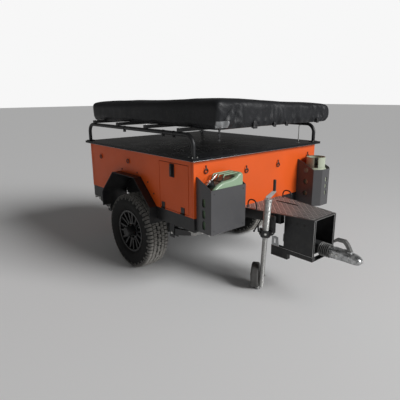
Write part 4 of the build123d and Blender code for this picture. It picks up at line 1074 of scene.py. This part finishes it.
# Jockey wheel stand
# Galvanised tube in a cast clamp bolted to the drawbar arm. A crank on top winds the inner tube down, and
# a T bar tightens the clamp. The wheel is grey rubber on a steel fork.
lean = radians(3)
stand_axis = Vector((sin(lean), 0, cos(lean)))


def stand_point(height):
    return Vector((0.631 + height * tan(lean), -0.276, height))


dress(galvanised("ribbed_zinc_tube", (0.30, 0.30, 0.29), (0.80, 0.80, 0.78), ribs=0.011), "jockey_tube")
inner_zinc = galvanised("zinc_inner_tube", (0.32, 0.32, 0.31), (0.78, 0.78, 0.76), ribs=0.009)
dress(inner_zinc, "jockey_inner")
dress(galvanised("zinc_lever", (0.40, 0.40, 0.39), (0.74, 0.74, 0.73)), "jockey_crank")
dress(fittings_black, "jockey_clamp")
dress(coat("grip_moulding", (0.018, 0.018, 0.018), 0.5, dust=0.0), "jockey_grip")
grey_rubber = Paint("grey_rubber", roughness=0.72)
grey_scuff = grey_rubber.noise(35.0, 6.0, 0.7)
grey_rubber.colour(grey_scuff, (0.055, 0.055, 0.053), (0.125, 0.122, 0.118))
grey_rubber.bump(grey_scuff, 0.0006)
dress(grey_rubber, "jockey_wheel")

bands = Work()
for height in (0.600, 0.655, 0.730, 0.800):
    bands.turned([(-0.004, 0.0301), (-0.003, 0.0318), (0.003, 0.0318), (0.004, 0.0301)],
                 seat(stand_point(height), stand_axis), steps=36, closed=True)
head_ring = [
    (-0.012, 0.0302), (-0.012, 0.0330), (0.0085, 0.0330), (0.0100, 0.0300), (0.0100, 0.012), (0.0085, 0.012),
    (0.0085, 0.0302),
]
bands.turned(head_ring, seat(stand_point(0.822), stand_axis), steps=40, closed=True)
bands.fit("tube_bands", inner_zinc, "galvanised")

bar_low, bar_high = Vector((0.580, -0.330, 0.543)), Vector((0.637, -0.300, 0.664))
handle = Work()
handle.tube([bar_low, bar_high], 0.0055)
for end in (bar_low, bar_high):
    handle.turned([(-0.005, 0.005), (-0.006, 0.008), (0, 0.009), (0.006, 0.008), (0.006, 0.0)],
                  seat(end, bar_high - bar_low), steps=16)
handle.tube([(bar_low + bar_high) / 2, (0.618, -0.318, 0.545), (0.624, -0.300, 0.535)], 0.007)
handle.fit("clamp_handle", black_bolt, "black_paint")

clamp_height = 0.535
toward = Vector((0.62, -0.785, 0))
ring_front = stand_point(clamp_height) + toward * 0.0405
clamp_bolts = [(ring_front, toward, 0.1), ((0.700, -0.232, clamp_height), (1, 0, 0), 0.4)]
fastened("clamp_bolts", hex_bolt(0.009), clamp_bolts, zinc_bolt, "zinc")
bosses = Work()
for place, normal, back, face, wide, narrow, chamfer in (
    (ring_front - toward * 0.006, toward, -0.012, 0.004, 0.019, 0.016, 0.002),
    ((0.686, -0.232, clamp_height), (1, 0, 0), -0.020, 0.010, 0.024, 0.019, 0.004),
    ((0.706, -0.238, 0.640), (1, 0, 0), -0.020, 0.006, 0.020, 0.016, 0.003),
):
    top = face + chamfer
    boss = [(back, 0), (back, wide), (face, wide), (top, narrow), (top, 0)]
    bosses.turned(boss, seat(place, normal), steps=28)
cheek_face = -0.262
bosses.block((0.664, cheek_face, 0.545), (0.738, -0.240, 0.690), 0.006)
bosses.fit("clamp_bosses", fittings_black, "cast_black")
bracket_bolts = [((0.712, cheek_face, z), (0, -1, 0), 0.4) for z in (0.575, 0.660)]
fastened("bracket_bolts", hex_bolt(0.008), bracket_bolts, black_bolt, "black_paint")

swivel = radians(-55)
trail = Vector((-cos(swivel), -sin(swivel), 0))
axle = Vector((-sin(swivel), cos(swivel), 0))
# the roller stands behind the tube and beside it
roller_height, trail_length, roller_offset = 0.112, 0.062, 0.062
roller_middle = stand_point(roller_height) + trail * trail_length - axle * roller_offset
on_roller = seat(roller_middle, axle)
roller_ribs = Work()
for way in sides:
    hub_ring = [(way * 0.0335, 0.034), (way * 0.0335, 0.068), (way * 0.0345, 0.064), (way * 0.0345, 0.030)]
    roller_ribs.turned(hub_ring[::way], on_roller, steps=56, closed=True)
for offset in (-0.014, 0.0, 0.014):
    rib = [(-0.004, 0.1110), (-0.003, 0.1122), (0.003, 0.1122), (0.004, 0.1110)]
    rib = [(offset + along, radius) for along, radius in rib]
    roller_ribs.turned(rib, on_roller, steps=64, closed=True)
roller_ribs.fit("jockey_wheel_ribs", grey_rubber, "grey_rubber", "jockey_roller")


# Tyres
# All-terrain tyres: five staggered rows of tread blocks over the belt, shoulder lugs that reach down the
# wall, and smooth walls with moulded rings. The tread is dusty, its crown painted paler still as painted
# sunlight, and the walls are dressed and darker.
tyre_rubber = Paint("tyre_rubber", Specular_IOR_Level=0.3)
tyre_cloud = tyre_rubber.noise(10.0, 5.0, 0.6)
tyre_rubber.colour(tyre_cloud, (0.0045, 0.0045, 0.0045), (0.010, 0.010, 0.0097))
tyre_rubber.set("Roughness", tyre_cloud * 0.2 + 0.6)
tyre_rubber.bump(tyre_rubber.noise(300.0), 0.00015)
tread_rubber = Paint("tread_dust_and_painted_light", roughness=0.85)
tread_dust = tread_rubber.noise(24.0, 5.0, 0.65)
from_middle = (tread_rubber.axes()[1].math("ABSOLUTE") - wheel.y).math("ABSOLUTE")
# the crown is painted paler than the shoulders: dust, and painted sunlight on the tread tops
on_crown = 1 - tread_rubber.ramp(from_middle, 0.082, 0.108)
shoulder_dust = tread_rubber.mix(tread_dust, (0.07, 0.068, 0.064), (0.15, 0.146, 0.137))
crown_dust_and_light = tread_rubber.mix(tread_dust, (0.22, 0.21, 0.195), (0.40, 0.385, 0.355))
tread_rubber.colour(on_crown, shoulder_dust, crown_dust_and_light)
tread_rubber.bump(tread_rubber.noise(400.0), 0.0002)

crown, groove = 0.3668, 0.357
crown_fall, tread_half = 0.006, 0.096
pitches = 30
half_pitch = pi / pitches
block_gap = 0.0085 / crown


def arc(start, middle, end, count):
    # points on the circle through three points
    (ax, ay), (bx, by), (cx, cy) = start, middle, end
    double = 2 * (ax * (by - cy) + bx * (cy - ay) + cx * (ay - by))
    a2, b2, c2 = ax * ax + ay * ay, bx * bx + by * by, cx * cx + cy * cy
    ux = (a2 * (by - cy) + b2 * (cy - ay) + c2 * (ay - by)) / double
    uy = (a2 * (cx - bx) + b2 * (ax - cx) + c2 * (bx - ax)) / double
    radius = hypot(ax - ux, ay - uy)
    first, between, last = (atan2(y - uy, x - ux) for x, y in (start, middle, end))
    sweep = (last - first) % (2 * pi)
    if (between - first) % (2 * pi) > sweep:
        sweep -= 2 * pi
    turns = [first + sweep * k / count for k in range(count + 1)]
    return [(ux + radius * cos(turn), uy + radius * sin(turn)) for turn in turns]


def carcass_profile():
    # (along the axle, radius), right round, with two moulded rings on each wall
    wall = []
    for radius, along in arc((0.339, 0.1070), (0.2765, 0.1172), (0.2105, 0.0890), 26):
        lift = 0.0012 if abs(radius - 0.318) < 0.006 or abs(radius - 0.232) < 0.005 else 0.0
        wall.append((along + lift, radius))
    belt = [(0.0, groove), (0.050, groove - 0.0012), (0.088, groove - 0.004), (0.100, 0.347)]
    bead = [(0.0895, 0.2040), (0.0895, 0.1950), (0.0765, 0.1950), (0.0765, 0.2105)]
    inside = arc((0.2105, 0.0765), (0.2765, 0.1045), (0.335, 0.0880), 10)
    lining = [(along, radius) for radius, along in inside]
    half = belt + wall + bead + lining + [(0.0, 0.338)]
    return half + [(-along, radius) for along, radius in half[1:-1]][::-1]


def tread_block(work, corners, base, way=1, shift=0.0, deep=0.0098, chamfer=0.0014):
    # a block on the belt, from corners in (along the axle, gaps, half pitches)
    corners = [
        (way * along + shift, base + gaps * block_gap + halves * half_pitch)
        for along, gaps, halves in corners
    ]
    count = len(corners)
    middle = [sum(values) / count for values in zip(*corners)]
    loops = []
    for sink, shrink in ((deep, -0.0008), (chamfer, 0.0), (0.0, chamfer)):
        loop = []
        for along, turn in corners:
            scale = 1 - shrink / hypot(along - middle[0], (turn - middle[1]) * crown)
            along = middle[0] + (along - middle[0]) * scale
            turn = middle[1] + (turn - middle[1]) * scale
            radius = crown - crown_fall * (along / tread_half) ** 2 - sink
            loop.append((radius * cos(turn), radius * sin(turn), along))
        loops.append(work.loop(loop))
    work.skin(loops)


def shoulder_lug(work, way, middle, width, reach, foot):
    # a lug down the shoulder, from the tread's edge to its reach on the wall
    over = ((0.3600, 0.0950), (0.3500, 0.1060), (0.3420, 0.1102), (reach, foot))
    under = ((0.3480, 0.0930), (0.3420, 0.1020), (0.3360, 0.1050), (reach - 0.004, 0.1065))
    loops = []
    for outer, inner in zip(over, under):
        loop = []
        for (radius, along), half in ((outer, -width / 2), (outer, width / 2), (inner, width / 2 + 0.002),
                                      (inner, -width / 2 - 0.002)):
            turn = middle + half
            loop.append((radius * cos(turn), radius * sin(turn), way * along))
        loops.append(work.loop(loop))
    work.skin(loops)


centre_blocks = (
    ((-0.015, 1, 0), (0.004, 0.5, 0), (0.016, 1.4, 0), (0.014, 0, 0.48), (-0.016, 0, 0.44)),
    ((-0.016, 0, 0.50), (0.014, 0, 0.54), (0.015, 0, 0.9), (-0.002, 0, 1), (-0.015, 0, 0.88)),
)
middle_blocks = (
    ((0.0265, 1, 0), (0.0575, 0.4, 0), (0.0555, 0, 0.42), (0.0285, 0, 0.56)),
    ((0.0285, 0, 0.61), (0.0555, 0, 0.47), (0.0575, 0, 0.93), (0.0265, 0, 1)),
)
shoulder_block = ((0.066, 1, 0), (0.0955, 1.2, 0), (0.0955, 0, 0.95), (0.066, 0, 0.98))
tread = Work()
for base, shift, reach, foot, wide in (
    # the two halves of a pitch, with a long and a short lug in turn
    (0.0, -0.004, 0.334, 0.1128, 0.72),
    (half_pitch, 0.004, 0.318, 0.1165, 0.62),
):
    for corners in centre_blocks:
        tread_block(tread, corners, base, shift=shift)
    for way, middle_start, shoulder_start in ((-1, 0.3, 0.65), (1, 0.5, 0.15)):
        for corners in middle_blocks:
            tread_block(tread, corners, base + half_pitch * middle_start, way)
        shoulder = base + half_pitch * shoulder_start
        tread_block(tread, shoulder_block, shoulder, way)
        shoulder_lug(tread, way, shoulder + half_pitch * 0.53, half_pitch * wide, reach, foot)
tread_pitch = tread.mesh("tread_pitch")


def on_axle(way):
    # the wheel's middle on this side, local Z outwards along the axle
    return Matrix.Translation((wheel.x, way * wheel.y, wheel.z)) @ Matrix.Rotation(-way * pi / 2, 4, "X")


def ringed(name, mesh, count, paint, slot, way, body, smooth=30):
    # copies of a shape round the axle, as one piece
    result = ring_out.run(mesh.copy(), name, Count=count, Material=paint.material)
    result.transform(on_axle(way))
    fitted(name, result, paint, slot, body, smooth)


wheel_sides = (("right", -1), ("left", 1))
for name, way in wheel_sides:
    body = f"{name}_wheel"
    carcass = Work()
    carcass.turned(carcass_profile(), on_axle(way), steps=144, closed=True)
    carcass.fit(f"tyre_carcass_{name}", tyre_rubber, "tyre_rubber", body, smooth=35,
                instead_of=f"tyre_{name}")
    ringed(f"tread_{name}", tread_pitch, pitches, tread_rubber, "tyre_rubber", way, body)


# Rims and wheel nuts
# Cast alloy rims in gloss black: a stepped barrel, eight split spokes and a domed centre cap, held by six
# nuts on a 139.7 mm circle.
rim_black = Paint("gloss_black_alloy", metallic=0.2, Coat_Weight=0.4, Coat_Roughness=0.1)
rim_cloud = rim_black.noise(20.0, 4.0, 0.6)
rim_black.colour(rim_cloud, (0.006, 0.006, 0.0065), (0.014, 0.014, 0.015))
rim_black.set("Roughness", rim_cloud * 0.18 + 0.22)
barrel = [
    (0.0943, 0.2065), (0.0915, 0.2065), (0.0893, 0.2040), (0.0893, 0.1942), (0.071, 0.1942),
    (0.049, 0.1765), (-0.065, 0.1765), (-0.073, 0.1942), (-0.0893, 0.1942), (-0.0893, 0.2040),
    (-0.0915, 0.2065), (-0.0943, 0.2065), (-0.0943, 0.1885), (-0.076, 0.1885), (-0.067, 0.1705),
    (0.046, 0.1705), (0.062, 0.1800), (0.076, 0.1885), (0.0925, 0.1885), (0.0943, 0.1905),
]
disc = [
    (-0.0003, 0.094), (0.040, 0.096), (0.072, 0.094), (0.0765, 0.090), (0.0765, 0.086), (0.072, 0.083),
    (0.040, 0.082), (0.040, 0.058), (0.0765, 0.055), (0.0765, 0.050), (0.012, 0.044), (0.012, 0.0265),
    (-0.0003, 0.0265),
]
cap_profile = [
    (0.0130, 0.0), (0.0130, 0.0435), (0.070, 0.0495), (0.134, 0.0485), (0.1405, 0.0455), (0.1435, 0.0400),
    (0.1435, 0.0340), (0.1415, 0.0310), (0.1425, 0.0),
]
spoke_foot, spoke_end, spoke_steps = 0.072, 0.1845, 8
foot_apart, end_apart = 0.0125, 0.0345
foot_half, end_half = 0.0095, 0.0110
hub_face, dish_start, dish_slope = 0.076, 0.084, 0.12
spokes = Work()
for s in sides:
    loops = []
    for k in range(spoke_steps + 1):
        outward = k / spoke_steps
        radius = spoke_foot + (spoke_end - spoke_foot) * outward
        y = s * (foot_apart + (end_apart - foot_apart) * outward ** 1.25)
        half = foot_half + (end_half - foot_half) * outward
        face = hub_face + max(0.0, radius - dish_start) * dish_slope
        back, shoulder = face - 0.034 + 0.006 * outward, face - 0.004
        loops.append(spokes.loop([
            (radius, y - half, back), (radius, y - half, shoulder), (radius, y - half + 0.003, face),
            (radius, y + half - 0.003, face), (radius, y + half, shoulder), (radius, y + half, back)]))
    spokes.skin(loops)
spokes = spokes.mesh("spokes")
stud_radius, nut_foot = 0.06985, 0.0405
on_stud = seat((stud_radius, 0, nut_foot))
nut = Work()
nut.turned([(-0.002, 0), (-0.002, 0.0125), (0.003, 0.0125), (0.004, 0.0105), (0.004, 0)], on_stud, steps=24)
nut.turned([(0.003, 0), (0.003, 0.0105), (0.020, 0.0105), (0.024, 0.0065), (0.025, 0)], on_stud, steps=6)
nut = nut.mesh("wheel_nut")
for name, way in wheel_sides:
    body = f"{name}_wheel"
    rim = Work()
    rim.turned(barrel, on_axle(way), steps=96, closed=True)
    rim.turned(disc, on_axle(way), steps=72, closed=True)
    rim.fit(f"rim_barrel_{name}", rim_black, "rim_paint", body, smooth=35, instead_of=f"rim_{name}")
    ringed(f"rim_spokes_{name}", spokes, 8, rim_black, "rim_paint", way, body, smooth=35)
    cap = Work()
    cap.turned(cap_profile, on_axle(way), steps=64)
    cap.fit(f"centre_cap_{name}", fittings_black, "black_plastic", body)
    ringed(f"wheel_nuts_{name}", nut, 6, zinc_bolt, "zinc", way, body)
    valve = Work()
    valve.tube([(0.150, 0.070, 0.058), (0.157, 0.073, 0.080), (0.156, 0.0725, 0.094)], 0.0035, steps=10)
    valve = valve.mesh("valve")
    valve.transform(on_axle(way))
    fitted(f"valve_{name}", valve, boot_rubber, "rubber", body)


# Fuel can and its holder
# A welded plate holder bolted to the front panel. The can is pressed sheet with three handles over a
# sloping shoulder, its enamel chipped a little.
# the holders' black coat is painted a lighter grey than the other black parts: a painted sheen
dress(coat("holder_coat_painted_sheen", (0.070, 0.070, 0.074), 0.36, dust=0.14), "can_holder", "gas_holder")
can_x, can_y = 0.460, -0.599
can_back, can_front = 0.382, 0.5395
seam_half, grip_half = 0.004, 0.058
enamel = Paint("can_enamel", Coat_Weight=0.2)
enamel_cloud = enamel.noise(6.0, 5.0, 0.6)
chips = enamel.noise(45.0, 6.0, 0.75) > 0.73
enamel_base = enamel.mix(enamel_cloud, (0.21, 0.31, 0.20), (0.29, 0.41, 0.275))
x_at, y_at, z_at = enamel.axes()
# the top between the handles, over the shoulder, is painted dark green-black: painted shade in the hollow
# under the handles
under_grips = (x_at - can_x).math("ABSOLUTE") < grip_half
slope_start = 0.990 + ((y_at + 0.66) * 0.55).math("MINIMUM", 0.0)
painted_shade_under_grips = under_grips * (z_at > slope_start) * (z_at < 1.032) * (y_at < -0.468)
enamel_base = enamel.mix(painted_shade_under_grips, enamel_base, (0.030, 0.042, 0.030))
enamel.colour(chips * 0.5, enamel_base, (0.20, 0.17, 0.13))
enamel.set("Roughness", enamel_cloud * 0.2 + 0.3)
enamel.bump(enamel.noise(90.0, 3.0), 0.0002)

floor_bolts = [((x, y, 0.600), (0, 0, -1), 0.0) for x in (0.420, 0.500) for y in (-0.765, -0.433)]
fastened("holder_floor_bolts", hex_bolt(0.011, 0.016), floor_bolts, zinc_bolt, "zinc")
can_outline = [
    (-0.771, 0.604), (-0.427, 0.604), (-0.427, 1.030), (-0.434, 1.046), (-0.450, 1.056), (-0.470, 1.054),
    (-0.489, 1.040), (-0.519, 1.023), (-0.563, 1.011), (-0.637, 1.007), (-0.672, 0.999), (-0.708, 0.984),
    (-0.748, 0.958), (-0.771, 0.930),
]
rolled, rolled_steps = 0.020, 5


def can_half(work, seam_x, face_x):
    # one pressed half, from the seam to its face, with the rim rolled inwards
    way = 1 if face_x > seam_x else -1
    sections = [(seam_x, 0.0)]
    for k in range(rolled_steps + 1):
        turn = pi / 2 * k / rolled_steps
        sections.append((face_x - way * rolled * (1 - sin(turn)), rolled * (1 - cos(turn))))
    corners = [Vector(corner) for corner in can_outline]
    loops = []
    for x, inset in sections:
        loop = []
        for before, here, after in zip(corners[-1:] + corners, corners, corners[1:] + corners[:1]):
            first, second = (here - before).normalized(), (after - here).normalized()
            normal = Vector((first.y + second.y, -(first.x + second.x))).normalized()
            spread = max(0.6, normal.dot(Vector((first.y, -first.x))))
            at = here - normal * (inset / spread)
            loop.append((x, at.x, at.y))
        loops.append(work.loop(loop))
    work.skin(loops)


can = Work()
can_half(can, can_x + seam_half, can_front)
can_half(can, can_x - seam_half, can_back)
seam = [(y * 0.994 + can_y * 0.006, z) for y, z in can_outline]
can.skin([can.loop([(x, y, z) for y, z in seam]) for x in (can_x - seam_half, can_x + seam_half)])
for offset, foot in ((0.046, -0.628), (0.0, -0.642), (-0.046, -0.656)):
    grip = ((foot - 0.012, 0.998), (foot + 0.012, 1.050), (-0.480, 1.052), (-0.455, 1.046))
    can.tube(rounded([(can_x + offset, y, z) for y, z in grip], 0.016), 0.0056)
can.block((can_x - grip_half, -0.662, 0.992), (can_x + grip_half, -0.620, 1.010), 0.006)
can.fit("fuel_can_body", enamel, "can_paint", smooth=50, instead_of="fuel_can")

neck = Vector((0, -0.66, 0.75)).normalized()
neck_foot = Vector((can_x, -0.707, 0.972))
spout = Work()
spout.turned([(-0.01, 0.027), (0.018, 0.027), (0.020, 0.031), (0.034, 0.031), (0.039, 0.026), (0.041, 0.0),
              (-0.01, 0.0)], seat(neck_foot, neck), steps=32)
spout.fit("can_spout_cap", fittings_black, "black_paint")
on_cap = Matrix.Translation(neck_foot + neck * 0.042) @ facing(neck, pi / 2)
lever = Work()
lever.block((-0.034, -0.009, 0.0), (0.018, 0.009, 0.005), 0.0012, on_cap)
lever.block((-0.012, -0.014, -0.004), (0.012, 0.014, 0.009), 0.002, on_cap)
lever.tube([(can_x, -0.712, 1.012), (can_x + 0.004, -0.684, 1.035), (can_x + 0.004, -0.660, 1.052)], 0.0055,
           steps=10)
lever.tube([(can_x + s * 0.016, -0.745, 1.004) for s in sides], 0.004, steps=10)
lever.fit("can_cap_lever", zinc_bolt, "zinc")
holder_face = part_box("can_holder")[1].x
holder_bolts = [
    ((holder_face + proud, y, z), (1, 0, 0), y)
    for y in (-0.760, -0.438) for z in (0.630, 0.925)
]
fastened("can_holder_bolts", dome_rivet(0.005), holder_bolts, black_bolt, "black_paint")


# Gas bottle and its holder
# A folded plate holder with bevelled corners, and a pale enamelled steel bottle with a guard collar round
# its valve.
bottle_low, bottle_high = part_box("gas_bottle")
bottle_middle = (bottle_low + bottle_high) / 2
bottle_radius = (bottle_high.y - bottle_low.y) / 2
bottle_foot = Vector((bottle_middle.x, bottle_middle.y, bottle_low.z))
bottle_shoulder = bottle_high.z - 0.112
bottle_enamel = Paint("bottle_enamel", Coat_Weight=0.25)
bottle_cloud = bottle_enamel.noise(5.0, 5.0, 0.6)
bottle_base = bottle_enamel.mix(bottle_cloud, (0.36, 0.40, 0.30), (0.50, 0.54, 0.42))
x_at, y_at, z_at = bottle_enamel.axes()
x_off, y_off = x_at - bottle_middle.x, y_at - bottle_middle.y
from_axis = (x_off * x_off + y_off * y_off).math("SQRT")
# inside the guard collar the bottle is painted dark brown: painted shade in the collar's hollow
painted_shade_in_collar = (from_axis < 0.0862) * (z_at > bottle_shoulder)
bottle_base = bottle_enamel.mix(painted_shade_in_collar, bottle_base, (0.085, 0.070, 0.045))
valve_part = (from_axis < 0.030) * (z_at > bottle_shoulder)
bottle_enamel.colour(valve_part, bottle_base, (0.030, 0.028, 0.024))
bottle_enamel.set("Roughness", bottle_cloud * 0.2 + 0.28)
bottle_enamel.bump(bottle_enamel.noise(60.0, 2.0), 0.0002)

foot_inset, weld_proud = 0.014, 0.0012
wall_top, dome_tall, dome_flat, dome_steps = 0.312, 0.070, 0.028, 10
bottle_top = wall_top + dome_tall
bottle_profile = [(0.0, 0.0)]
for height, more in (
    # at this height, so much wider than the wall
    (0.0, -foot_inset), (0.022, -foot_inset), (0.030, -0.004), (0.046, 0.0), (0.168, 0.0),
    (0.1695, weld_proud), (0.182, weld_proud), (0.1835, 0.0), (wall_top, 0.0),
):
    bottle_profile.append((height, bottle_radius + more))
for k in range(1, dome_steps + 1):
    turn = pi / 2 * k / dome_steps
    radius = dome_flat + (bottle_radius - dome_flat) * cos(turn)
    bottle_profile.append((wall_top + dome_tall * sin(turn), radius))
bottle_profile.append((bottle_top, 0.0))
valve_profile = [
    (-0.004, 0.0), (-0.004, 0.014), (0.048, 0.014), (0.050, 0.024), (0.064, 0.024), (0.067, 0.020),
    (0.067, 0.0),
]
valve_profile = [(bottle_top + height, radius) for height, radius in valve_profile]
bottle = Work()
bottle.turned(bottle_profile, seat(bottle_foot), steps=72)
bottle.turned(valve_profile, seat(bottle_foot), steps=28)

collar_out, collar_in, bead_radius = 0.090, 0.0868, 0.0036
collar_low, collar_high = bottle_top - 0.030, bottle_top + 0.078
collar_section = (
    (collar_in, collar_low), (collar_out, collar_low), (collar_out, collar_high), (collar_in, collar_high))
collar_start, collar_end = radians(-42), radians(294)
collar_steps = 64
collar, bead = [], []
for k in range(collar_steps + 1):
    turn = collar_start + (collar_end - collar_start) * k / collar_steps
    way = Vector((cos(turn), sin(turn), 0))
    collar.append(bottle.loop([bottle_foot + way * reach + upright * z for reach, z in collar_section]))
    bead.append(bottle_foot + way * (collar_in + collar_out) / 2 + upright * collar_high)
bottle.skin(collar)
bottle.tube(bead, bead_radius, steps=10)
bottle.fit("gas_bottle_shell", bottle_enamel, "bottle_paint", instead_of="gas_bottle")


# Lashing rings, tail lamps and steadies
# Worn D rings on riveted orange pads, painted dark reddish brown for shade and the orange panel's reflection,
# moulded red lamps and steel steadies folded up.
pad_thick, rivet_rise, rivet_steps = 0.004, 0.024, (-0.013, 0.013)
ring_steel = Paint("lashing_rings", roughness=0.42)
x_at, y_at, z_at = ring_steel.axes()
beyond_side = y_at.math("ABSOLUTE") > side + pad_thick + proud
ring_part = (x_at > front + pad_thick + proud).math("MAXIMUM", beyond_side)
# the rings are painted dark reddish brown: worn zinc, with painted shade and the orange panel's painted
# reflection
ring_zinc_shade_and_reflection = ring_steel.mix(ring_steel.noise(70.0, 4.0), (0.035, 0.022, 0.018), (0.14, 0.095, 0.08))
painted = ring_steel.mix(ring_steel.noise(3.0), orange_colour, (0.68, 0.097, 0.0126))
ring_steel.colour(ring_part, painted, ring_zinc_shade_and_reflection)
ring_steel.set("Metallic", ring_part * 0.6)
dress(ring_steel, "lashing_rings")
stems = Work()
ring_rivets = []
for y, z in ((-0.690, 1.074), (-0.218, 1.018), (0.218, 1.018), (0.690, 1.048)):
    stems.block((front + 0.0035, y - 0.0045, z + 0.002), (front + 0.010, y + 0.0045, z + 0.046), 0.002)
    for dy in rivet_steps:
        ring_rivets.append(((front + pad_thick, y + dy, z + rivet_rise), (1, 0, 0), 0.0))
for s in sides:
    for x, z in ((-0.574, 1.055), (-1.106, 1.040)):
        for dx in rivet_steps:
            ring_rivets.append(((x + dx, s * (side + pad_thick), z + rivet_rise), (0, s, 0), 0.0))
stems.fit("ring_stems", ring_steel, "zinc")
fastened("ring_rivets", dome_rivet(0.004), ring_rivets, orange, "orange_paint")

red_lens = Paint("red_lamp_lens", roughness=0.18, Coat_Weight=0.5)
red_lens.colour(red_lens.noise(30.0), (0.35, 0.006, 0.006), (0.50, 0.012, 0.010))
ribs_across, ribs_up = [(at * 900.0).math("SINE") for at in red_lens.axes()[1:]]
red_lens.bump(ribs_across * 0.5 + ribs_up * 0.5, 0.0006)
dress(red_lens, "tail_lamps")

steady_coat = Paint("steady_legs_and_pads", roughness=0.42)
x_at = steady_coat.axes()[0]
pad_part = (x_at > 0.294).math("MAXIMUM", x_at < -1.256)
pad_zinc = steady_coat.mix(steady_coat.noise(40.0, 4.0, 0.6), (0.32, 0.32, 0.31), (0.58, 0.58, 0.56))
leg_black = steady_coat.mix(steady_coat.noise(12.0), (0.018, 0.019, 0.020), (0.030, 0.030, 0.030))
steady_coat.colour(pad_part, leg_black, pad_zinc)
steady_coat.set("Metallic", pad_part * 0.5)
steady_coat.bump(steady_coat.noise(500.0), 0.00005)
dress(steady_coat, "steady_front_right", "steady_front_left", "steady_rear_right",
      "steady_rear_left")
bracket_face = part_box("steady_brackets")[1].y + proud
steady_bolts = [
    ((x, s * bracket_face, 0.498), (0, s, 0), 0.2)
    for x in (0.044, -1.056) for s in sides
]
fastened("steady_bolts", hex_bolt(0.011), steady_bolts, zinc_bolt, "zinc")


# Floor, backdrop and light
# A pale studio floor under large soft lamps, with the key in front of the trailer and the near side in shade.
floor_mesh = bpy.data.meshes.new("floor")
floor_mesh.from_pydata([(-60, -60, 0), (60, -60, 0), (60, 60, 0), (-60, 60, 0)], [], [(0, 1, 2, 3)])
floor = bpy.data.objects.new("floor", floor_mesh)
bpy.context.scene.collection.objects.link(floor)
floor_paint = Paint("studio_floor", roughness=0.9)
floor_paint.set("Base Color", (0.80, 0.80, 0.80))
floor_mesh.materials.append(floor_paint.material)

# the camera sees a brighter backdrop than the one that lights the trailer
world = bpy.data.worlds.new("studio")
bpy.context.scene.world = world
world.use_nodes = True
world_nodes = world.node_tree
surface = world_nodes.nodes["Background"]
surface.inputs["Color"].default_value = (0.96, 0.95, 0.94, 1)
surface.inputs["Strength"].default_value = 0.11
backdrop = world_nodes.nodes.new("ShaderNodeBackground")
backdrop.inputs["Color"].default_value = (0.93, 0.93, 0.93, 1)
backdrop.inputs["Strength"].default_value = 1.0
seen = world_nodes.nodes.new("ShaderNodeLightPath")
blend = world_nodes.nodes.new("ShaderNodeMixShader")
for k, output in enumerate((seen.outputs["Is Camera Ray"], surface.outputs[0], backdrop.outputs[0])):
    world_nodes.links.new(output, blend.inputs[k])
world_nodes.links.new(blend.outputs[0], world_nodes.nodes["World Output"].inputs[0])

sun = bpy.data.lights.new("key_light", "SUN")
sun.energy = 2.6
sun.angle = radians(28)
key = bpy.data.objects.new("key_light", sun)
key.rotation_euler = Vector((-0.82, -0.30, -0.48)).to_track_quat("-Z", "Y").to_euler()
bpy.context.scene.collection.objects.link(key)
aim = Vector((0, 0, 0.8))
for name, lamp_place, size, power in (
    ("front_light", (4.8, 1.2, 3.6), 2.6, 60),
    ("side_light", (1.5, -5.5, 3.5), 3.0, 6),
):
    lamp = bpy.data.lights.new(name, "AREA")
    lamp.size = size
    lamp.energy = power
    light = bpy.data.objects.new(name, lamp)
    light.location = lamp_place
    light.rotation_euler = (aim - Vector(lamp_place)).to_track_quat("-Z", "Y").to_euler()
    bpy.context.scene.collection.objects.link(light)

bpy.context.scene.view_settings.view_transform = "Standard"
bpy.context.view_layer.update()
